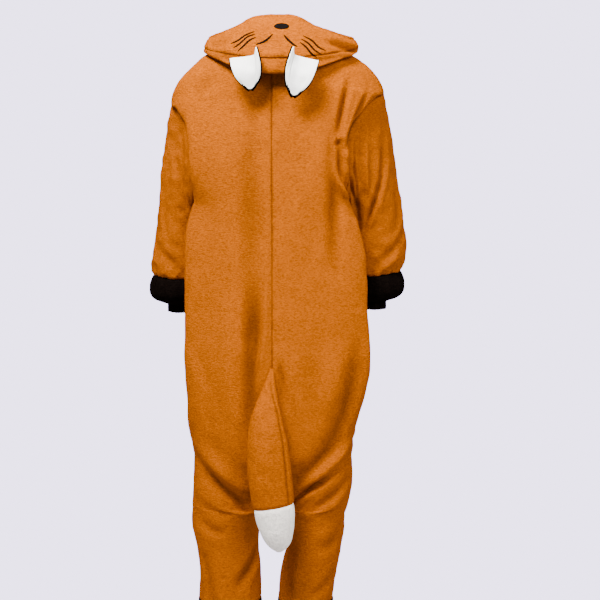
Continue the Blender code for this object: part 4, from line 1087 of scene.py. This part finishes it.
def strand(path, width, height, steps_along=36):
    """A raised line of satin stitches that follows the hood: a flat oval section along a smooth path.

    The path is (x, z) on the hood; the section narrows at both ends as sqrt(sin(pi t)).
    """
    path = along(np.array(path, float), np.linspace(0, len(path) - 1, steps_along))
    centre, out = over_hood(path[:, 0], path[:, 1])
    forward = unit(steps(centre))
    aside = unit(np.cross(out, forward))
    t = np.linspace(0, 1, steps_along)
    size = np.sqrt(np.clip(np.sin(math.pi * (0.02 + 0.96 * t)), 0, 1))[:, None, None]
    angle = np.arange(8) * math.pi / 4
    ring = (
        aside[:, None] * (np.cos(angle) * width)[None, :, None] * size
        + out[:, None] * (np.sin(angle) * height)[None, :, None] * size
    )
    points = centre[:, None] + out[:, None] * 0.0004 + ring
    faces = grid_faces(steps_along, 8, True)
    caps = [[0, 1, 2, 3], [0, 3, 4, 7], [4, 5, 6, 7]]
    last = (steps_along - 1) * 8
    turned = np.cross(ring[1, 1] - ring[1, 0], forward[1]) @ (ring[1, 0] + ring[1, 1]) < 0
    every = [list(face) for face in faces]
    every += [face[::-1] for face in caps] + [[last + k for k in face] for face in caps]
    if turned:
        every = [face[::-1] for face in every]
    return points, every


# The closed eyes and the whiskers, as paths (x, z) on the hood
EYES = (
    ((-0.003, -0.027), (0.006, -0.036), (0.018, -0.044), (0.033, -0.049)),
    ((-0.027, -0.029), (-0.035, -0.038), (-0.045, -0.047), (-0.056, -0.054)),
)
WHISKERS = (
    ((0.036, -0.021), (0.056, -0.029), (0.072, -0.040), (0.088, -0.047)),
    ((0.035, -0.027), (0.052, -0.033), (0.067, -0.046), (0.082, -0.056)),
    ((0.033, -0.034), (0.047, -0.040), (0.061, -0.053), (0.073, -0.064)),
    ((-0.068, -0.030), (-0.088, -0.041), (-0.101, -0.054), (-0.117, -0.062)),
    ((-0.064, -0.037), (-0.080, -0.047), (-0.093, -0.061), (-0.108, -0.070)),
    ((-0.061, -0.044), (-0.074, -0.054), (-0.085, -0.067), (-0.098, -0.077)),
)


class FoxSettings(bpy.types.PropertyGroup):
    """Sizes and colours that a user would change."""

    orange: bpy.props.FloatVectorProperty(
        name="Fleece", description="Colour of the body, sleeves, hood and tail", subtype="COLOR",
        min=0, max=1, default=COLOURS["orange"],
    )
    black: bpy.props.FloatVectorProperty(
        name="Bands", description="Colour of the bands, the nose and the ears' backs", subtype="COLOR",
        min=0, max=1, default=COLOURS["black"],
    )
    white: bpy.props.FloatVectorProperty(
        name="Ears", description="Colour of the ears' fronts", subtype="COLOR",
        min=0, max=1, default=COLOURS["white"],
    )
    tip: bpy.props.FloatVectorProperty(
        name="Tail tip", description="Colour of the tail's tip", subtype="COLOR",
        min=0, max=1, default=COLOURS["tip"],
    )
    nap: bpy.props.FloatProperty(
        name="Nap", description="Height of the fleece's pile", default=0.0026, min=0, unit="LENGTH"
    )
    stitch: bpy.props.FloatProperty(
        name="Stitching", description="Half-width of the eyes and whiskers", default=0.0021, min=0.0003,
        unit="LENGTH",
    )
    lens: bpy.props.FloatProperty(
        name="Lens", description="Focal length of the camera", default=90, min=20, unit="CAMERA"
    )
    key: bpy.props.FloatProperty(
        name="Key light", description="Power of the main light, in watts", default=325, min=0, unit="POWER"
    )


def build_panels(context):
    orange = cloth_material("orange", context)
    for side, (grids, _, _, painted_shades) in CLOTH.items():
        for face, grid in grids.items():
            name = f"{face}_{WORDS[side]}"
            sign = 1 if face == "back" else -1
            piece = add_cloth(
                name + "_cloth", grid * (side, 1, 1), orange, lambda p, s=sign: np.array([0, s, 0]),
                painted_shade=painted_shades[face],
            )
            show(piece, "orange_fleece", name)


def build_sleeves(context):
    orange = cloth_material("orange", context)
    for side, (_, grid, painted_shade, _) in CLOTH.items():
        name = f"sleeve_{WORDS[side]}"
        middle = grid[len(grid) // 2].mean(axis=0) * (side, 1, 1)
        piece = add_cloth(
            name + "_cloth", grid * (side, 1, 1), orange, lambda p, m=middle: p - m, True, painted_shade
        )
        show(piece, "orange_fleece", name)


def build_bands(context):
    black = cloth_material("black", context)
    for side, (grids, sleeve, _, _) in CLOTH.items():
        word = WORDS[side]
        band = band_grid(sleeve[-1], SLEEVE_BAND, SLEEVE_BAND_HEIGHT, 40, (23, 31, 37, 53), 61)
        rib = rib_grid(band[-1])
        last = np.concatenate([grids["back"][-1, ::-1], grids["front"][-1, 1:-1]])
        leg = band_grid(last, LEG_BAND, LEG_BAND_HEIGHT, 40, (19, 29, 41, 47), 63)
        for name, grid in (("sleeve_band_", band), ("wrist_rib_", rib), ("leg_band_", leg)):
            middle = grid[len(grid) // 2].mean(axis=0) * (side, 1, 1)
            piece = add_cloth(
                name + word + "_cloth", grid * (side, 1, 1), black, lambda p, m=middle: p - m, closed=True
            )
            show(piece, "black_fleece", name + word)


def rib_grid(last):
    """A short knitted cuff: the band's last ring, carried down with 44 upright ribs round it."""
    rows = 14
    down = np.linspace(0, 1, rows + 1)[:, None, None]
    centre = last.mean(axis=0)
    away = last - centre
    angle = np.arctan2(away[:, 1], away[:, 0])
    out = unit(away * (1, 1, 0))
    rib = 0.0006 * np.cos(44 * angle)[None, :, None] * np.sin(math.pi * np.clip(down * 1.1, 0, 1)) ** 0.5
    return last + out * rib + np.array([0, 0, -WRIST_RIB_HEIGHT]) * down


def build_hood_pieces(context):
    orange = cloth_material("orange", context)
    seam = HOOD_SEAM
    for name, rows in (("hood_back", slice(0, seam + 1)), ("hood_face", slice(seam, None))):
        grid = HOOD_CLOTH[rows]
        hint = -normals_of(HOOD_CLOTH)[rows][grid.shape[0] // 2, grid.shape[1] // 4]
        piece = add_cloth(name + "_cloth", grid, orange, lambda p, n=hint: n, painted_shade=HOOD_PAINTED_SHADE[rows])
        show(piece, "orange_fleece", name)


def build_face(context):
    """The nose patch, the closed eyes and the whiskers, stitched on the hood."""
    settings = context.scene.fox_onesie
    black = plain("fox_stitch", tuple(settings.black), 0.6)
    parts = [strand(path, settings.stitch * 1.15, 0.0010) for path in EYES]
    parts += [strand(path, settings.stitch, 0.0009) for path in WHISKERS]
    show(join_parts("face_stitching", parts, black), "black_fleece")
    angle = np.arange(64) * 2 * math.pi / 64
    share = np.array([1.0, 1.0, 0.985, 0.95, 0.88, 0.78, 0.65, 0.5, 0.34, 0.18, 0.06])[:, None]
    rise = np.array([-0.6, 0.0, 0.55, 0.85, 1.0, 1.08, 1.12, 1.15, 1.17, 1.18, 1.18])[:, None] * 0.0014
    x = NOSE_X + NOSE_HALF_WIDTH * share * np.cos(angle)
    z = NOSE_Z + NOSE_HALF_HEIGHT * share * np.sin(angle)
    centre, out = over_hood(x, z)
    satin = 0.00012 * np.sin(x * 2 * math.pi / 0.0011)
    rings = centre + out * (rise + satin * (rise > 0))[..., None]
    under = centre[:1] - out[:1] * 0.0008
    piece = add_closed("nose_patch", np.concatenate([under, rings]), black, lambda p: np.array([0, 1, 0]))
    show(piece, "black_fleece", "nose")


def build_ears(context):
    white, black = cloth_material("white", context), cloth_material("black", context)
    for word, ear in EARS.items():
        for layer, deep, larger, material, slot in (
            ("front", 0.0, 1.0, white, "white_plush"),
            ("back", WALL + 0.0003, 1.055, black, "black_fleece"),
        ):
            sized = dict(ear, half=ear["half"] * (0.65 + 0.35 * larger), long=ear["long"] * larger)
            # the crease's painted shade darkens both layers along the fold
            grid, crease_and_shade = ear_grid(sized, 56, 64)
            normals = normals_of(grid)
            if normals[20, 32, 1] < 0:
                normals = -normals
            hint = normals[grid.shape[0] // 2, grid.shape[1] // 4]
            piece = add_cloth(
                f"ear_{word}_{layer}_cloth", grid - normals * deep, material, lambda p, n=hint: n,
                painted_shade=crease_and_shade,
            )
            show(piece, slot, f"ear_{word}_{layer}")


def build_tail(context):
    for name, first, last, count, kind, slot in (
        ("tail", 0, TAIL_SEAM_ROW, 190, "orange", "orange_fleece"),
        ("tail_tip", TAIL_SEAM_ROW, len(TAIL["z"]) - 1, 70, "tip", "white_plush"),
    ):
        rings, painted_shade = tail_rings(first, last, count, 120)
        piece = add_closed(
            name + "_cloth", rings, cloth_material(kind, context), lambda p: np.array([0, 1, 0]), painted_shade
        )
        show(piece, slot, name)


def build_placket(context):
    """The strip over the centre-front seam, with its stitching, and the buttons."""
    orange = cloth_material("orange", context)
    left, right = CLOTH[LEFT][0]["front"], CLOTH[RIGHT][0]["front"]
    low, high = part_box("front_placket")
    rows = np.flatnonzero((left[:, 0, 2] <= high[2]) & (left[:, 0, 2] >= low[2]))
    half = (high[0] - low[0]) / 2
    x = np.linspace(-half, half, 41)
    grid = []
    for r in rows:
        both = np.concatenate([right[r, 20:0:-1] * (-1, 1, 1), left[r, :21] * (1, 1, 1)])
        y = np.interp(x, both[:, 0], both[:, 1])
        z = np.interp(x, both[:, 0], both[:, 2])
        grid.append(stack(x, y, z))
    grid = np.array(grid)
    lift = WALL + 0.0006 - seam_groove(half - np.abs(grid[..., 0]) - 0.004, 0.0007, 0.0012)
    grid = grid + np.array([0, -1, 0]) * lift[..., None]
    piece = add_cloth("front_placket_cloth", grid, orange, lambda p: np.array([0, -1, 0]))
    show(piece, "orange_fleece", "front_placket")
    button = plain("fox_button", COLOURS["button"], 0.45, 0.05)
    thread = plain("fox_thread", (0.05, 0.02, 0.008), 0.8)
    for i in range(1, 6):
        low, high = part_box(f"button_{i}")
        build_button(i, (low + high) / 2, low[1], button, thread)


def build_button(i, centre, front, button, thread):
    """A turned disc with a raised rim, four holes and crossed thread; the profile is turned about y."""
    angle = np.arange(72) * 2 * math.pi / 72
    profile = np.array(
        [(0.0002, 3.4), (0.9, 3.4), (0.97, 3.2), (1.0, 2.6), (1.0, 0.9), (0.97, 0.35), (0.92, 0.06),
         (0.86, 0.0), (0.80, 0.06), (0.75, 0.4), (0.70, 0.9), (0.64, 1.15)]
        + [(0.6 - 0.02 * k, 1.2) for k in range(30)]
    )
    radius = 0.0118 * profile[:, :1]
    x, z = radius * np.cos(angle), radius * np.sin(angle)
    away = np.hypot(np.abs(x) - 0.0024, np.abs(z) - 0.0024)
    hole = 0.0016 * np.exp(-((away / 0.0011) ** 6)) * (np.arange(len(profile)) > 11)[:, None]
    y = front + profile[:, 1:] * 0.001 + hole
    rings = stack(centre[0] + x, y, centre[2] + z)
    piece = add_closed(f"button_{i}_disc", rings, button, lambda p, c=centre: p - c - (0, 0.02, 0))
    show(piece, "button_plastic", f"button_{i}")
    parts = []
    t = np.linspace(-1, 1, 15)[:, None]
    around = np.arange(8) * math.pi / 4
    for lean in (1, -1):
        for shift in (-0.0004, 0.0004):
            line_x, line_z = 0.0026 * t + shift, 0.0026 * t * lean - shift * lean
            rise = 0.0008 + 0.0006 * (1 - t**4)
            points = stack(
                centre[0] + line_x + 0.00035 * np.cos(around),
                front + 0.0012 - rise + 0.0008 + 0.00035 * np.sin(around),
                centre[2] + line_z + 0.00035 * np.cos(around) * -lean,
            )
            parts.append((points, grid_faces(15, 8, True)))
    show(join_parts(f"button_{i}_thread", parts, thread), "button_plastic")


def seen_by_camera(nodes, links, other, paper, output):
    """The second shader where the camera looks straight at it, and the first for all other light."""
    straight, mixed = nodes.new("ShaderNodeLightPath"), nodes.new("ShaderNodeMixShader")
    links.new(straight.outputs["Is Camera Ray"], mixed.inputs["Fac"])
    links.new(other, mixed.inputs[1])
    links.new(paper, mixed.inputs[2])
    links.new(mixed.outputs["Shader"], nodes[output].inputs["Surface"])


def build_stage(context):
    """A plain pale floor and room, soft lights from above and behind the camera, and the camera.

    What the camera sees of the floor and the room is paper of one colour; on the garment they shed a soft
    even light.
    """
    settings = context.scene.fox_onesie
    corners = np.array([[(-20, -20, FLOOR_Z), (20, -20, FLOOR_Z)], [(-20, 20, FLOOR_Z), (20, 20, FLOOR_Z)]])
    made, nodes, links, shader = new_material("stage_paper")
    shader.inputs["Base Color"].default_value = (0.35, 0.35, 0.37, 1)
    shader.inputs["Roughness"].default_value = 1
    paper = nodes.new("ShaderNodeEmission")
    paper.inputs["Color"].default_value = PAPER
    paper.inputs["Strength"].default_value = PAPER_LIGHT
    seen_by_camera(nodes, links, shader.outputs["BSDF"], paper.outputs["Emission"], "Material Output")
    mesh_object("floor", corners, [[0, 1, 3, 2]], made)
    world = bpy.data.worlds.new("soft_room")
    context.scene.world = world
    world.use_nodes = True
    nodes, links = world.node_tree.nodes, world.node_tree.links
    room, paper = nodes["Background"], nodes.new("ShaderNodeBackground")
    room.inputs["Color"].default_value = (1.0, 0.98, 0.95, 1)
    room.inputs["Strength"].default_value = 0.34
    paper.inputs["Color"].default_value = PAPER
    paper.inputs["Strength"].default_value = PAPER_LIGHT
    seen_by_camera(nodes, links, room.outputs["Background"], paper.outputs["Background"], "World Output")
    for name, place, aim, size, power, tint in (
        ("key", (0.72, 1.45, 1.75), (0, 0.1, -0.10), 1.0, settings.key, (1.0, 0.98, 0.94)),
        ("fill", (-1.7, 1.8, 1.1), (0, 0, -0.2), 1.3, 0.36 * settings.key, (1.0, 0.98, 0.95)),
        ("front", (0.4, -3.2, 1.6), (0, 0, -0.6), 2.5, 1.2 * settings.key, (1.0, 0.98, 0.96)),
    ):
        light = bpy.data.lights.new(name, "AREA")
        light.shape = "DISK"
        light.size, light.energy, light.color = size, power, tint
        made = bpy.data.objects.new(name, light)
        made.location = place
        made.rotation_euler = (Vector(aim) - Vector(place)).to_track_quat("-Z", "Y").to_euler()
        context.scene.collection.objects.link(made)
    camera = bpy.data.cameras.new("camera")
    camera.lens, camera.sensor_width = settings.lens, 36
    camera.clip_start, camera.clip_end = 0.05, 60
    eye = bpy.data.objects.new("camera", camera)
    eye.location = EYE
    eye.rotation_euler = (math.radians(90 - EYE_DOWN), 0, math.radians(180))
    context.scene.collection.objects.link(eye)
    context.scene.camera = eye


def operator(name, label, doc, build):
    """An operator class that runs one build function."""

    def execute(self, context):
        build(context)
        return {"FINISHED"}

    members = {
        "__doc__": doc,
        "bl_idname": "fox_onesie." + name,
        "bl_label": label,
        "bl_options": {"REGISTER", "UNDO"},
        "execute": execute,
    }
    return type("FOX_OT_" + name, (bpy.types.Operator,), members)


OPERATORS = (
    operator("panels", "Body panels", "Adds the back and front panels", build_panels),
    operator("sleeves", "Sleeves", "Adds both sleeves", build_sleeves),
    operator("bands", "Bands", "Adds the sleeve bands, wrist ribs and leg bands", build_bands),
    operator("hood", "Hood", "Adds the hood's two pieces", build_hood_pieces),
    operator("face", "Face", "Adds the nose, the eyes and the whiskers", build_face),
    operator("ears", "Ears", "Adds both ears", build_ears),
    operator("tail", "Tail", "Adds the stuffed tail and its tip", build_tail),
    operator("placket", "Front opening", "Adds the placket and its buttons", build_placket),
    operator("stage", "Stage", "Adds the floor, the room, the lights and the camera", build_stage),
)


class FOX_PT_panel(bpy.types.Panel):
    """Lists the pieces and their settings."""

    bl_label = "Fox Onesie"
    bl_idname = "FOX_PT_panel"
    bl_space_type = "VIEW_3D"
    bl_region_type = "UI"
    bl_category = "Fox Onesie"

    def draw(self, context):
        for name in FoxSettings.__annotations__:
            self.layout.prop(context.scene.fox_onesie, name)
        for each in OPERATORS:
            self.layout.operator(each.bl_idname)


CLASSES = (FoxSettings, *OPERATORS, FOX_PT_panel)


def register():
    for each in CLASSES:
        bpy.utils.register_class(each)
    bpy.types.Scene.fox_onesie = bpy.props.PointerProperty(type=FoxSettings)


def unregister():
    del bpy.types.Scene.fox_onesie
    for each in reversed(CLASSES):
        bpy.utils.unregister_class(each)


def main():
    register()
    for each in OPERATORS:
        getattr(bpy.ops.fox_onesie, each.bl_idname.split(".")[1])()


if __name__ == "__main__":
    main()
